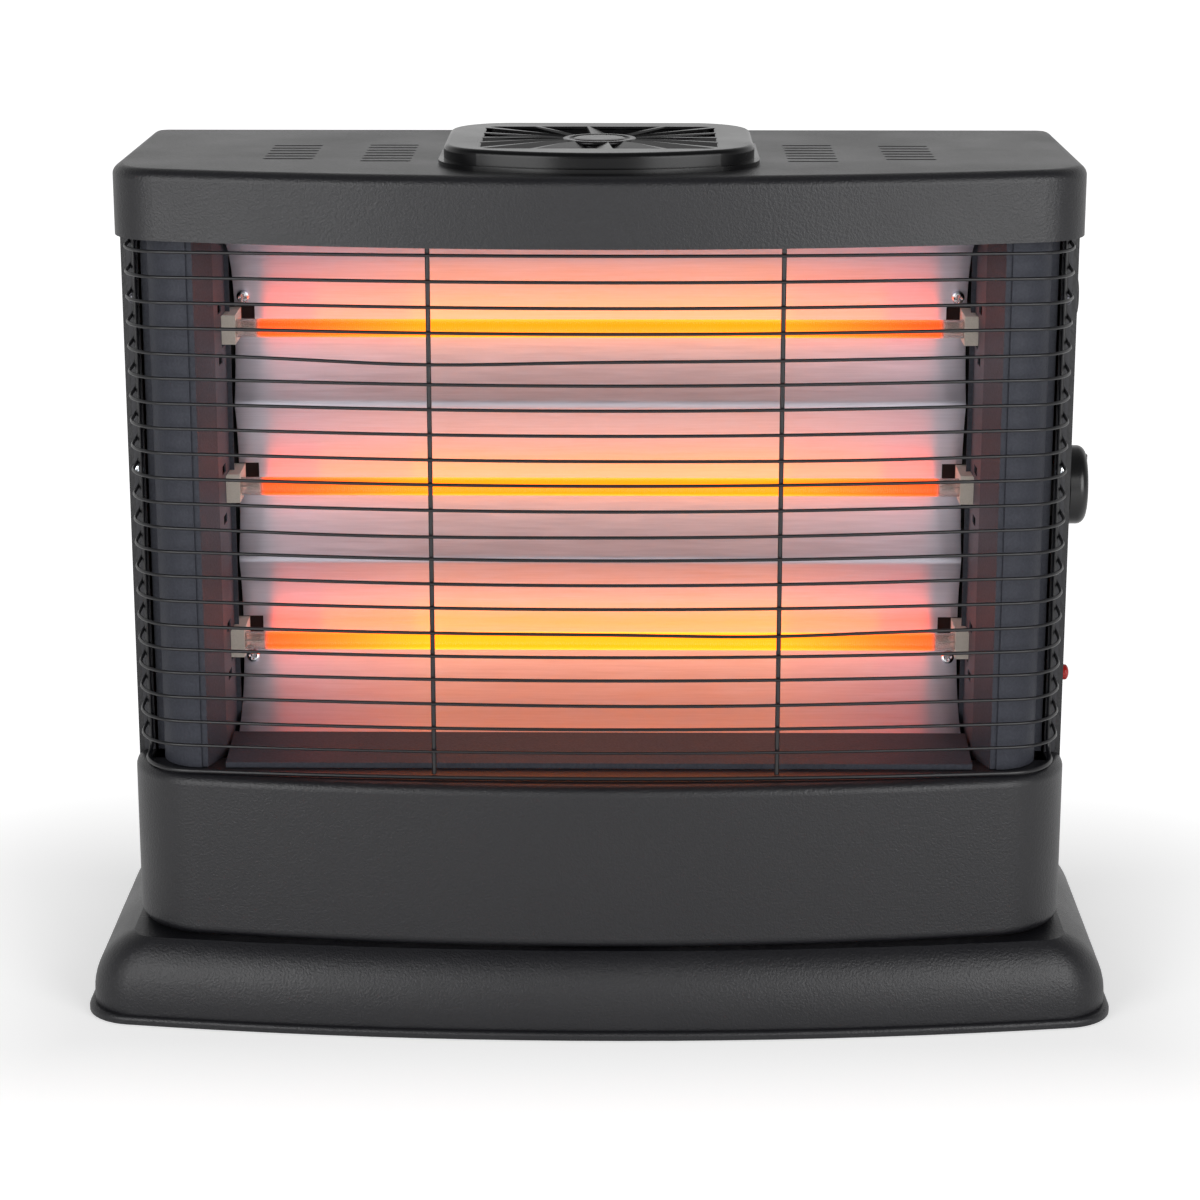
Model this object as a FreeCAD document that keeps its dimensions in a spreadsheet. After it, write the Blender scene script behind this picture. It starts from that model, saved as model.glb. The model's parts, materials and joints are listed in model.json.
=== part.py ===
# Free-standing quartz heater with three horizontal tubes, a wire guard and a flared floor base
import FreeCAD, Part
import math
import os
import re
import Sketcher
from FreeCAD import Rotation, Vector

doc = FreeCAD.newDocument("QuartzHeater")
sheet = doc.addObject("Spreadsheet::Sheet", "Sizes")

# Driving dimensions in millimetres: X across, Y from front to back, Z up from the floor
SIZES = {
    # Sheet, fits and cuts
    "sheet_gauge": 1.0,
    "fit_gap": 0.3,
    "cut_overrun": 5,
    # Pressed steel base
    "base_width": 589,
    "base_depth": 256,
    "base_height": 48,
    "base_bow": 1700,
    "base_front_corner": 30,
    "base_back_corner": 55,
    "base_rim_reach": 3.2,
    "base_rim_height": 4.8,
    "base_side_inset": 24,
    "base_front_inset": 15,
    "ground_gap": 1,
    "floor_plate_height": 5.5,
    # Rubber feet
    "foot_diameter": 24,
    "foot_inset_x": 59.5,
    "foot_inset_y": 50,
    # Casing walls
    "casing_width": 531,
    "casing_back": 97,
    "cover_front": 113,
    "flange_front": 44,
    "back_lip": 16,
    "wall_drop": 5.2,
    # Hood
    "hood_width": 533.6,
    "hood_depth": 219,
    "hood_top": 485.7,
    "hood_skirt": 38.7,
    "hood_bow": 1000,
    "hood_front_corner": 34,
    "hood_back_corner": 10,
    "hood_edge_round": 6,
    "hood_slot_length": 28,
    "hood_slot_width": 4,
    "hood_slot_pitch": 11.8,
    "outer_slots_x": 172,
    "outer_slots_y": -7,
    "inner_slots_x": 117.5,
    "inner_slots_y": -10,
    # Lower front cover
    "fascia_lift": 2,
    "fascia_height": 96,
    "fascia_bow": 1340,
    "fascia_corner": 48,
    "fascia_edge_round": 6,
    "fascia_back_corner": 2,
    "fascia_return": 8,
    "ledge_back": 60,
    # Guard strips beside the columns
    "strip_width": 6.2,
    "strip_edge": 3.3,
    "strip_gauge": 1.2,
    # Rounded front columns
    "column_gauge": 0.8,
    "column_gap": 1.4,
    "column_flange": 5.6,
    "column_straight": 11,
    "column_round": 24,
    "groove_width": 3.5,
    "groove_depth": 1.2,
    "cheek_back": 12,
    "cheek_lean": 9,
    "knee_reach": 8,
    "knee_depth": 22.8,
    "cheek_lip": 2.5,
    "slit_length": 12,
    "slit_height": 5,
    "slit_rise": 14.5,
    "slit_back": 28,
    "column_top_gap": 8,
    # Sill below the reflector
    "sill_front": 79,
    "sill_step": 3,
    "sill_back": 36,
    "sill_rise": 8,
    # Corrugated reflector
    "reflector_width": 419.2,
    "reflector_gauge": 0.7,
    "trough_back": 8,
    "trough_radius": 88,
    "ridge_round": 5,
    "lip_radius": 54.4,
    "lip_angle": 77,
    "notch_depth": 11.5,
    "notch_height": 18,
    "bracket_gauge": 1.2,
    "bracket_reach": 68,
    "bracket_lip": 7,
    "bracket_end": 26,
    # Quartz elements
    "tube_centre_height": 295,
    "tube_pitch": 92,
    "tube_front": 14,
    "tube_diameter": 10.5,
    "tube_wall": 1,
    "tube_length": 422,
    "coil_diameter": 8.2,
    "coil_wire": 0.9,
    "coil_length": 390,
    "lead_diameter": 1.6,
    "lead_tail": 5,
    "lead_outer": 2.6,
    "lead_bend": 6,
    "cap_thickness": 8,
    "cap_height": 16.7,
    "cap_depth": 14,
    "cap_seat": 5,
    "cap_gap": 0.05,
    # Wire guard
    "row_wire": 1.9,
    "frame_wire": 2.6,
    "wire_gap": 0.2,
    "guard_inset": 11.5,
    "guard_bow": 2100,
    "guard_corner": 30,
    "guard_side_gap": 5.2,
    "guard_bottom": 0.2,
    "row_first": 15.1,
    "row_pitch": 13.935,
    "hook_round": 3.5,
    "hook_tail": 3,
    "frame_round": 6,
    "upright_spread": 192,
    "upright_shift": 4,
    "upright_overhang": 7,
    # Vent grille on the hood
    "vent_width": 169.6,
    "vent_depth": 144,
    "vent_corner": 34,
    "vent_bow": 150,
    "vent_height": 11,
    "vent_place_y": -28,
    "vent_flange": 3,
    "vent_flange_height": 2.5,
    "vent_edge_round": 3,
    "vent_window_width": 130,
    "vent_window_depth": 102,
    "vent_window_corner": 8,
    "vent_spigot": 6,
    "vent_rim_wall": 3,
    "hub_diameter": 40,
    "hub_height": 7,
    "hub_drop": 2,
    "blade_root": 8,
    "blade_tip": 30,
    "blade_gauge": 1.5,
    "blade_tilt": 18,
    # Selector on the right side
    "selector_y": -18,
    "selector_height": 298,
    "knob_diameter": 45,
    "knob_height": 10.5,
    "knob_gap": 1,
    "knob_round": 5,
    "pointer_length": 14,
    "pointer_width": 4,
    "pointer_rise": 1,
    "shaft_diameter": 6,
    "shaft_gap": 0.05,
    "shaft_seat": 7,
    "switch_side": 30,
    "switch_depth": 18,
    # Pilot lamp
    "pilot_y": -24,
    "pilot_height": 188,
    "pilot_diameter": 9,
    "pilot_reach": 4.6,
    "pilot_bezel": 13,
    "pilot_bezel_rise": 1.4,
    "pilot_depth": 22,
    # Carry handles
    "handle_length": 88,
    "handle_width": 30,
    "handle_rise": 8.5,
    "handle_round": 5,
    "handle_y": 50,
    "handle_height": 401,
    "finger_length": 64,
    "finger_width": 16,
    "finger_depth": 24,
    "finger_wall": 1.6,
    # Screws
    "screw_head": 7.6,
    "screw_head_rise": 2.4,
    "small_screw_head": 6,
    "small_head_rise": 2,
    "screw_shank": 3.5,
    "screw_length": 8,
    "flange_screw_height": 409.3,
    "strip_screw_height": 311.7,
    "reflector_screw_inset": 5.4,
    "reflector_screw_rise": 15,
    "back_screw_inset": 12,
    # Back panel
    "back_panel_inset": 4,
    "back_panel_lift": 6,
    "back_panel_drop": 1.5,
    "louvre_length": 70,
    "louvre_width": 5,
    "louvre_pitch": 14,
    "louvre_first_height": 330,
    "louvre_spread": 110,
    # Tip-over switch and terminals in the base
    "tip_x": 120,
    "tip_y": 60,
    "tip_length": 26,
    "tip_width": 16,
    "tip_height": 26,
    "plunger_diameter": 7,
    "plunger_gap": 0.08,
    "plunger_length": 24,
    "terminal_length": 64,
    "terminal_width": 20,
    "terminal_height": 16,
    "terminal_y": 40,
    "terminal_bore": 4,
    "terminal_bore_pitch": 10,
    # Mains lead bush in the back panel
    "bush_x": 190,
    "bush_height": 84,
    "bush_diameter": 18,
    "bush_flange": 24,
    "bush_flange_height": 3,
    "bush_depth": 10,
    "bush_bore": 8,
}

# Counts and shares, which have no unit
ROW_COUNT = 21
TUBE_NAMES = ("bottom", "middle", "top")
SIDES = (("left", -1), ("right", 1))
OUTER_SLOTS = 6
INNER_SLOTS = 7
LOUVRES = 7
TERMINAL_WAYS = 6
BACK_SCREW_ROWS = 3
BLADE_TURNS = (0, 28, 48, 65, 83)
SLOT_END_SHARE = 0.96
HOOK_LEAN_SHARE = 0.5
RIM_ROUND_SHARE = 0.8
BASE_HEIGHT_SHARES = (0, 0.32, 0.54, 0.75, 0.9, 1)
BASE_INSET_SHARES = (0, 0.02, 0.14, 0.38, 0.68, 1)

for row, (alias, number) in enumerate(SIZES.items(), start=1):
    sheet.set(f"A{row}", alias.replace("_", " "))
    sheet.set(f"B{row}", str(number))
    sheet.setAlias(f"B{row}", alias)
doc.recompute()

ALIAS = re.compile(r"[a-z]+(?:_[a-z]+)+")
nodes = {}


def link(text):
    """Return a formula in size names as an expression on the sheet's cells."""
    return ALIAS.sub(lambda match: "Sizes." + match.group(0), str(text))


def value(text):
    """Return the number that a formula in size names gives."""
    return float(sheet.evalExpression(link(text)))


def bind(obj, **formulas):
    """Bind properties of an object to formulas in size names."""
    for name, text in formulas.items():
        obj.setExpression(name, link(text))


def place(obj, x=0, y=0, z=0):
    """Bind an object's place to three formulas."""
    for axis, text in zip("xyz", (x, y, z)):
        obj.setExpression(f"Placement.Base.{axis}", link(text))


def node(label, obj):
    """Keep an object as a sub-part under its label."""
    obj.Label = label
    nodes[label] = obj
    return obj


def feature(label, shape):
    """Keep a shape built from the sheet as a sub-part."""
    obj = doc.addObject("Part::Feature", label)
    obj.Shape = shape
    return node(label, obj)


def box(name, length, width, height, x, y, z):
    """Add a block with its lowest corner at x, y, z."""
    block = doc.addObject("Part::Box", name)
    bind(block, Length=length, Width=width, Height=height)
    place(block, x, y, z)
    return block


def cylinder(name, diameter, height, axis, x, y, z):
    """Add a cylinder that grows along an axis from x, y, z."""
    rod = doc.addObject("Part::Cylinder", name)
    bind(rod, Radius=f"({diameter}) / 2", Height=height)
    rod.Placement = FreeCAD.Placement(Vector(), Rotation(Vector(0, 0, 1), axis))
    place(rod, x, y, z)
    return rod


def cut(name, base, tool):
    """Subtract one object from another."""
    result = doc.addObject("Part::Cut", name)
    result.Base = base
    result.Tool = tool
    return result


def fuse(name, pieces):
    """Join objects into one solid."""
    result = doc.addObject("Part::MultiFuse", name)
    result.Shapes = pieces
    return result


def group(name, pieces):
    """Hold like solids in one object."""
    result = doc.addObject("Part::Compound", name)
    result.Links = pieces
    return result


def origin_plane(body, role):
    """Find one of a body's own planes."""
    return next(item for item in body.Origin.OriginFeatures if item.Role == role)


def outline_sketch(body, role, name, corners):
    """Draw a closed outline whose corners are each bound to two formulas."""
    sketch = body.newObject("Sketcher::SketchObject", name)
    sketch.AttachmentSupport = [(origin_plane(body, role), "")]
    sketch.MapMode = "FlatFace"
    spots = [Vector(value(x), value(y), 0) for x, y in corners]
    count = len(spots)
    for k in range(count):
        sketch.addGeometry(Part.LineSegment(spots[k], spots[(k + 1) % count]), False)
    for k in range(count):
        sketch.addConstraint(Sketcher.Constraint("Coincident", k, 2, (k + 1) % count, 1))
    for k, (x, y) in enumerate(corners):
        for kind, text in (("DistanceX", x), ("DistanceY", y)):
            index = sketch.addConstraint(Sketcher.Constraint(kind, -1, 1, k, 1, value(text)))
            sketch.setExpression(f"Constraints[{index}]", link(text))
    return sketch


def circle_sketch(body, role, name, circles):
    """Draw circles, each with its centre and radius bound to formulas."""
    sketch = body.newObject("Sketcher::SketchObject", name)
    sketch.AttachmentSupport = [(origin_plane(body, role), "")]
    sketch.MapMode = "FlatFace"
    for k, (x, y, radius) in enumerate(circles):
        spot = Vector(value(x), value(y), 0)
        sketch.addGeometry(Part.Circle(spot, Vector(0, 0, 1), value(radius)), False)
        for kind, text in (("DistanceX", x), ("DistanceY", y)):
            index = sketch.addConstraint(Sketcher.Constraint(kind, -1, 1, k, 3, value(text)))
            sketch.setExpression(f"Constraints[{index}]", link(text))
        index = sketch.addConstraint(Sketcher.Constraint("Radius", k, value(radius)))
        sketch.setExpression(f"Constraints[{index}]", link(radius))
    return sketch


def pad(body, sketch, length, backwards=False):
    """Grow a sketch into a solid."""
    step = body.newObject("PartDesign::Pad", sketch.Name + "_pad")
    step.Profile = sketch
    step.Reversed = backwards
    bind(step, Length=length)
    doc.recompute()
    return step


def pocket(body, sketch, length, backwards=False):
    """Cut a sketch into a body and make sure that it removed material."""
    before = body.Shape.Volume
    step = body.newObject("PartDesign::Pocket", sketch.Name + "_pocket")
    step.Profile = sketch
    step.Reversed = backwards
    bind(step, Length=length)
    doc.recompute()
    if body.Shape.Volume >= before:
        raise RuntimeError(f"{sketch.Name} cut nothing")
    return step


def new_body(label):
    """Start a body for one sub-part."""
    body = doc.addObject("PartDesign::Body", label)
    return node(label, body)


def rounded_plan(half_width, front, back, bow, front_corner, back_corner, z):
    """Return a closed plan outline with a bowed front and four round corners."""
    centre = front + bow
    side = half_width - front_corner
    corner_y = centre - math.sqrt((bow - front_corner) ** 2 - side ** 2)
    reach = bow / (bow - front_corner)
    touch = Vector(side * reach, centre + (corner_y - centre) * reach, z)
    half = math.sqrt(0.5)
    bisector = Vector(side, corner_y - centre, 0).normalize() + Vector(1, 0, 0)
    middle = Vector(side, corner_y, z) + bisector.normalize() * front_corner
    back_centre = Vector(half_width - back_corner, back - back_corner, z)
    right = [
        Vector(half_width, corner_y, z),
        Vector(half_width, back - back_corner, z),
        back_centre + Vector(half, half, 0) * back_corner,
        Vector(half_width - back_corner, back, z),
    ]

    def flip(point):
        return Vector(-point.x, point.y, point.z)

    edges = [
        Part.Arc(flip(touch), Vector(0, front, z), touch),
        Part.Arc(touch, middle, right[0]),
        Part.LineSegment(right[0], right[1]),
        Part.Arc(right[1], right[2], right[3]),
        Part.LineSegment(right[3], flip(right[3])),
        Part.Arc(flip(right[3]), flip(right[2]), flip(right[1])),
        Part.LineSegment(flip(right[1]), flip(right[0])),
        Part.Arc(flip(right[0]), flip(middle), flip(touch)),
    ]
    return Part.Wire([edge.toShape() for edge in edges])


def prism(wire, height):
    """Raise a flat outline into a solid."""
    return Part.Face(wire).extrude(Vector(0, 0, height))


def block_at(x0, x1, y0, y1, z0, z1):
    """Return a block between two corners."""
    return Part.makeBox(x1 - x0, y1 - y0, z1 - z0, Vector(x0, y0, z0))


def edges_at_height(solid, z):
    """Find a solid's edges that lie at one height."""
    flat = value("fit_gap")
    return [
        edge for edge in solid.Edges
        if abs(edge.BoundBox.ZMin - z) < flat and abs(edge.BoundBox.ZMax - z) < flat
    ]


def slot_plan(length, width, corner, x, y, z):
    """Return a rectangle with round corners, centred at x, y."""
    half_x = length / 2
    half_y = width / 2
    bend = corner * (1 - math.sqrt(0.5))
    edges = []
    spots = []
    for sx, sy in ((1, 1), (-1, 1), (-1, -1), (1, -1)):
        along_x = Vector(x + sx * (half_x - corner), y + sy * half_y, z)
        along_y = Vector(x + sx * half_x, y + sy * (half_y - corner), z)
        corner_spot = Vector(x + sx * (half_x - bend), y + sy * (half_y - bend), z)
        first, last = (along_y, along_x) if sx * sy > 0 else (along_x, along_y)
        spots.append((first, corner_spot, last))
    for k, (first, corner_spot, last) in enumerate(spots):
        edges.append(Part.Arc(first, corner_spot, last).toShape())
        following = spots[(k + 1) % len(spots)][0]
        edges.append(Part.LineSegment(last, following).toShape())
    return Part.Wire(edges)


def round_wire(path, diameter):
    """Sweep a round wire along a path of lines and arcs."""
    start = path.Edges[0]
    first = start.firstVertex().Point
    heading = start.tangentAt(start.FirstParameter)
    ring = Part.Wire([Part.Circle(first, heading, diameter / 2).toShape()])
    return path.makePipeShell([ring], True, True)


# Base tray, pressed from sheet with a rolled rim
def base_section(inset_share, z, gauge):
    """Return the base's outline at one height, drawn in by a share of its insets."""
    side = value("base_width/2 - base_rim_reach - base_side_inset * " + str(inset_share)) - gauge
    reach = value("base_depth/2 - base_rim_reach - base_front_inset * " + str(inset_share)) - gauge
    drawn = value("base_front_inset * " + str(inset_share)) + gauge
    return rounded_plan(
        side, -reach, reach, value("base_bow") - drawn, value("base_front_corner") - drawn,
        value("base_back_corner") - drawn, z)


def base_form(gauge):
    """Return the base's solid form, drawn in by a gauge."""
    bottom = value("ground_gap + base_rim_height") - gauge
    rise = value("base_height") - gauge - bottom
    sections = [
        base_section(inset, bottom + rise * share, gauge)
        for share, inset in zip(BASE_HEIGHT_SHARES, BASE_INSET_SHARES)
    ]
    return Part.makeLoft(sections, True, False)


def rim_plan(gauge):
    """Return the rim's outline, drawn in by a gauge."""
    return rounded_plan(
        value("base_width/2") - gauge, -value("base_depth/2") + gauge, value("base_depth/2") - gauge,
        value("base_bow") - gauge, value("base_front_corner") - gauge,
        value("base_back_corner") - gauge, value("ground_gap"))


gauge = value("sheet_gauge")
rim = prism(rim_plan(0), value("base_rim_height"))
rim_top = edges_at_height(rim, value("ground_gap + base_rim_height"))
rim = rim.makeFillet(value("base_rim_reach") * RIM_ROUND_SHARE, rim_top)
rim_inside = prism(base_section(0, value("ground_gap"), gauge), value("base_rim_height"))
base_shell = rim.fuse(base_form(0)).cut(base_form(gauge)).cut(rim_inside)
feature("base_tray", base_shell.removeSplitter())

plate_plan = base_section(0, value("floor_plate_height"), value("sheet_gauge + fit_gap"))
floor_plate = prism(plate_plan, gauge)
plunger_hole = Part.makeCylinder(
    value("plunger_diameter/2 + fit_gap"), value("cut_overrun * 2"),
    Vector(value("tip_x"), value("tip_y"), value("floor_plate_height - cut_overrun")))
feature("floor_plate", floor_plate.cut(plunger_hole))

feet = []
for side, sign in SIDES:
    for end, along in (("front", -1), ("back", 1)):
        feet.append(cylinder(
            f"foot_{end}_{side}", "foot_diameter", "floor_plate_height", Vector(0, 0, 1),
            f"{sign} * (base_width / 2 - foot_inset_x)", f"{along} * (base_depth / 2 - foot_inset_y)", 0))
node("rubber_feet", group("feet", feet))

# Casing side walls, each a pad of its folded plan
wall_bottom = "base_height"
wall_top = "hood_top - wall_drop"
for side, sign in SIDES:
    wall = f"{sign} * casing_width / 2"
    inner = f"{sign} * (casing_width / 2 - sheet_gauge)"
    front_lip = f"{sign} * (casing_width / 2 - strip_edge - strip_width)"
    rear_lip = f"{sign} * (casing_width / 2 - back_lip)"
    corners = [
        (wall, "-flange_front"), (wall, "casing_back"), (rear_lip, "casing_back"),
        (rear_lip, "casing_back - sheet_gauge"), (inner, "casing_back - sheet_gauge"),
        (inner, "-flange_front + sheet_gauge"), (front_lip, "-flange_front + sheet_gauge"),
        (front_lip, "-flange_front"),
    ]
    body = new_body(f"side_panel_{side}")
    pad(body, outline_sketch(body, "XY_Plane", f"side_plan_{side}", corners), f"{wall_top} - {wall_bottom}")
    place(body, z=wall_bottom)
    if sign > 0:
        holes = circle_sketch(body, "YZ_Plane", "side_holes", [
            ("selector_y", f"selector_height - {wall_bottom}", "shaft_diameter / 2 + fit_gap"),
            ("pilot_y", f"pilot_height - {wall_bottom}", "pilot_diameter / 2 + fit_gap"),
        ])
        pocket(body, holes, "casing_width", backwards=True)
    cup_half = "finger_length / 2 + finger_wall + fit_gap"
    cup_rise = "finger_width / 2 + finger_wall + fit_gap"
    middle = f"handle_height - {wall_bottom}"
    cup_ends = (f"handle_y - ({cup_half})", f"handle_y + {cup_half}")
    cup_hole = outline_sketch(body, "YZ_Plane", f"cup_hole_{side}", [
        (cup_ends[0], f"{middle} - ({cup_rise})"), (cup_ends[1], f"{middle} - ({cup_rise})"),
        (cup_ends[1], f"{middle} + {cup_rise}"), (cup_ends[0], f"{middle} + {cup_rise}")])
    pocket(body, cup_hole, "casing_width", backwards=sign > 0)

# Guard strips, folded flat against the side walls' front lips
for side, sign in SIDES:
    outer = f"{sign} * (casing_width / 2 - strip_edge)"
    inner = f"{sign} * (casing_width / 2 - strip_edge - strip_width)"
    corners = [
        (outer, "-flange_front"), (inner, "-flange_front"),
        (inner, "-flange_front - strip_gauge"), (outer, "-flange_front - strip_gauge"),
    ]
    body = new_body(f"guard_strip_{side}")
    strip_bottom = "base_height + fascia_lift + fascia_height + fit_gap"
    pad(body, outline_sketch(body, "XY_Plane", f"strip_plan_{side}", corners),
        f"hood_top - column_top_gap - ({strip_bottom})")
    place(body, z=strip_bottom)

# Back panel with louvre slots
body = new_body("back_panel")
half_back = "casing_width / 2 - back_panel_inset"
back_bottom = "base_height + back_panel_lift"
back_top = "hood_top - back_panel_drop"
corners = [
    (f"-({half_back})", back_bottom), (half_back, back_bottom),
    (half_back, back_top), (f"-({half_back})", back_top),
]
pad(body, outline_sketch(body, "XZ_Plane", "back_outline", corners), "sheet_gauge")
place(body, y="casing_back + sheet_gauge")
for side, sign in SIDES:
    centre = f"{sign} * louvre_spread"
    low = "louvre_first_height"
    corners = [
        (f"{centre} - louvre_length / 2", low), (f"{centre} + louvre_length / 2", low),
        (f"{centre} + louvre_length / 2", f"{low} + louvre_width"),
        (f"{centre} - louvre_length / 2", f"{low} + louvre_width"),
    ]
    sketch = outline_sketch(body, "XZ_Plane", f"louvre_{side}", corners)
    first = pocket(body, sketch, "cut_overrun", backwards=True)
    pattern = body.newObject("PartDesign::LinearPattern", f"louvres_{side}")
    pattern.Originals = [first]
    pattern.Direction = (sketch, ["V_Axis"])
    pattern.Occurrences = LOUVRES
    bind(pattern, Length=f"louvre_pitch * {LOUVRES - 1}")
    body.Tip = pattern
    doc.recompute()
bush_hole = circle_sketch(
    body, "XZ_Plane", "bush_hole", [("bush_x", "bush_height", "bush_diameter / 2 + fit_gap")])
pocket(body, bush_hole, "cut_overrun", backwards=True)

# Hood, a drawn cover with a bowed front skirt
hood_back = value("hood_depth - cover_front")


def hood_form(gauge):
    """Return the hood's solid form, drawn in by a gauge."""
    bottom = value("hood_top - hood_skirt")
    top = value("hood_top") - gauge
    if gauge:
        bottom -= value("cut_overrun")
    plan = rounded_plan(
        value("hood_width/2") - gauge, -value("cover_front") + gauge, hood_back - gauge,
        value("hood_bow") - gauge, value("hood_front_corner") - gauge,
        value("hood_back_corner") - gauge, bottom)
    solid = prism(plan, top - bottom)
    return solid.makeFillet(value("hood_edge_round") - gauge, edges_at_height(solid, top))


hood = hood_form(0).cut(hood_form(gauge))
hood_cuts = []
slot_floor = value("hood_top - cut_overrun")
for count, place_x, place_y in (
        (OUTER_SLOTS, "outer_slots_x", "outer_slots_y"), (INNER_SLOTS, "inner_slots_x", "inner_slots_y")):
    for sign in (-1, 1):
        for k in range(count):
            y = value(place_y) + (k - (count - 1) / 2) * value("hood_slot_pitch")
            plan = slot_plan(
                value("hood_slot_length"), value("hood_slot_width"),
                value("hood_slot_width / 2") * SLOT_END_SHARE, sign * value(place_x), y, slot_floor)
            hood_cuts.append(prism(plan, value("cut_overrun * 2")))
spigot_gap = value("fit_gap")
vent_opening = slot_plan(
    value("vent_window_width + vent_rim_wall * 2") + spigot_gap * 2,
    value("vent_window_depth + vent_rim_wall * 2") + spigot_gap * 2,
    value("vent_window_corner + vent_rim_wall") + spigot_gap, 0, value("vent_place_y"), slot_floor)
hood_cuts.append(prism(vent_opening, value("cut_overrun * 2")))
feature("hood", hood.cut(hood_cuts))

# Lower front cover with its ledge
fascia_bottom = value("base_height + fascia_lift")
fascia_top = value("base_height + fascia_lift + fascia_height")


def fascia_form(gauge):
    """Return the lower cover's solid form, drawn in by a gauge."""
    bottom = fascia_bottom + gauge
    top = fascia_top - gauge
    back = value("casing_back")
    if gauge:
        back += value("cut_overrun")
    small = value("fascia_back_corner")
    plan = rounded_plan(
        value("casing_width/2 + sheet_gauge") - gauge, -value("cover_front") + gauge, back,
        value("fascia_bow") - gauge, value("fascia_corner") - gauge, small, bottom)
    solid = prism(plan, top - bottom)
    ends = edges_at_height(solid, top) + edges_at_height(solid, bottom)
    rounded = [edge for edge in ends if edge.BoundBox.YMin < back - small * 2]
    return solid.makeFillet(value("fascia_edge_round") - gauge, rounded)


fascia = fascia_form(0).cut(fascia_form(gauge))
reach = value("hood_width")
behind_ledge = block_at(
    -value("casing_width/2 - strip_edge - strip_width"), value("casing_width/2 - strip_edge - strip_width"),
    -value("ledge_back"), reach, fascia_bottom - value("cut_overrun"), fascia_top + value("cut_overrun"))
beside_wall = block_at(
    -value("casing_width/2"), value("casing_width/2"), -value("flange_front + strip_gauge + fit_gap"),
    reach, fascia_bottom - value("cut_overrun"), fascia_top + value("cut_overrun"))
turned_in = value("fascia_return")
under_opening = prism(rounded_plan(
    value("casing_width/2 + sheet_gauge") - turned_in, -value("cover_front") + turned_in, reach,
    value("fascia_bow") - turned_in, value("fascia_corner") - turned_in, value("fascia_back_corner"),
    fascia_bottom - value("cut_overrun")), value("cut_overrun * 2"))
feature("fascia", fascia.cut([behind_ledge, beside_wall, under_opening]))

# Rounded columns beside the reflector, folded from one strip each
column_bottom = fascia_top + value("fit_gap")
column_height = value("hood_top - column_top_gap") - column_bottom
flange_outer = value("casing_width/2 - strip_edge - strip_width - column_gap")
flange_inner = flange_outer - value("column_flange")
round_start = value("-flange_front - column_straight")
round_x = flange_inner - value("column_round")
round_front = round_start - value("column_round")
cheek_start = round_x - value("groove_width")
cheek_end = cheek_start - value("cheek_lean")
lip_y = -value("cheek_back")
half = math.sqrt(0.5)
fold = value("column_gauge")
groove_floor = round_front + value("groove_depth")
inner_round = value("column_round") - fold
inner_round_end = round_start - math.sqrt(inner_round ** 2 - fold ** 2)
ARC_STEP = 2
knee_x = cheek_start - value("knee_reach")
knee_y = groove_floor + value("knee_depth")
fore_slope = (knee_x - cheek_start) / (knee_y - groove_floor)
rear_slope = (cheek_end - knee_x) / (lip_y - knee_y)
fore_slant = fold * math.hypot(1, fore_slope)
rear_slant = fold * math.hypot(1, rear_slope)
knee_behind_y = knee_y + (rear_slant - fore_slant) / (fore_slope - rear_slope)


def fore_behind(y):
    """Return how far out the hidden face of the cheek's front part lies at a depth y."""
    return knee_x + fore_slope * (y - knee_y) + fore_slant


tube_heights = [
    value("tube_centre_height") + (k - 1) * value("tube_pitch") for k in range(len(TUBE_NAMES))
]
for side, sign in SIDES:
    def spot(x, y, sign=sign):
        return Vector(sign * x, y, column_bottom)

    front_side = [
        spot(flange_outer, -value("flange_front")), spot(flange_inner, -value("flange_front")),
        spot(flange_inner, round_start), spot(round_x, round_front), spot(round_x, groove_floor),
        spot(cheek_start, groove_floor), spot(knee_x, knee_y), spot(cheek_end, lip_y),
        spot(cheek_end - value("cheek_lip"), lip_y),
    ]
    back_side = [
        spot(flange_outer, fold - value("flange_front")),
        spot(flange_inner - fold, fold - value("flange_front")),
        spot(flange_inner - fold, round_start), spot(round_x + fold, inner_round_end),
        spot(round_x + fold, groove_floor + fold),
        spot(fore_behind(groove_floor + fold), groove_floor + fold),
        spot(fore_behind(knee_behind_y), knee_behind_y),
        spot(cheek_end + rear_slope * fold + rear_slant, lip_y + fold),
        spot(cheek_end - value("cheek_lip"), lip_y + fold),
    ]
    edges = []
    for skin, radius in ((front_side, value("column_round")), (back_side, value("column_round") - fold)):
        bend = spot(round_x + radius * half, round_start - radius * half)
        for k in range(len(skin) - 1):
            if k == ARC_STEP:
                edges.append(Part.Arc(skin[k], bend, skin[k + 1]))
            else:
                edges.append(Part.LineSegment(skin[k], skin[k + 1]))
    edges.append(Part.LineSegment(front_side[0], back_side[0]))
    edges.append(Part.LineSegment(front_side[-1], back_side[-1]))
    outline = Part.Wire(Part.__sortEdges__([edge.toShape() for edge in edges]))
    column = prism(outline, column_height)
    notches = []
    for z in tube_heights:
        tall = value("notch_height / 2")
        wide = value("cheek_lip + cap_thickness")
        low = Vector(sign * (cheek_end + value("cap_thickness / 2")) - (wide if sign > 0 else 0), 0, 0)
        notches.append(block_at(
            low.x, low.x + wide, -value("tube_front + cap_depth"), value("cut_overrun"), z - tall, z + tall))
        for up in (-1, 1):
            middle_z = z + up * value("slit_rise")
            ends = sorted((sign * (cheek_end - value("cheek_lip")), sign * (knee_x + value("cut_overrun"))))
            notches.append(block_at(
                *ends, -value("slit_back + slit_length"), -value("slit_back"),
                middle_z - value("slit_height / 2"), middle_z + value("slit_height / 2")))
    feature(f"column_{side}", column.cut(notches))

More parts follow.
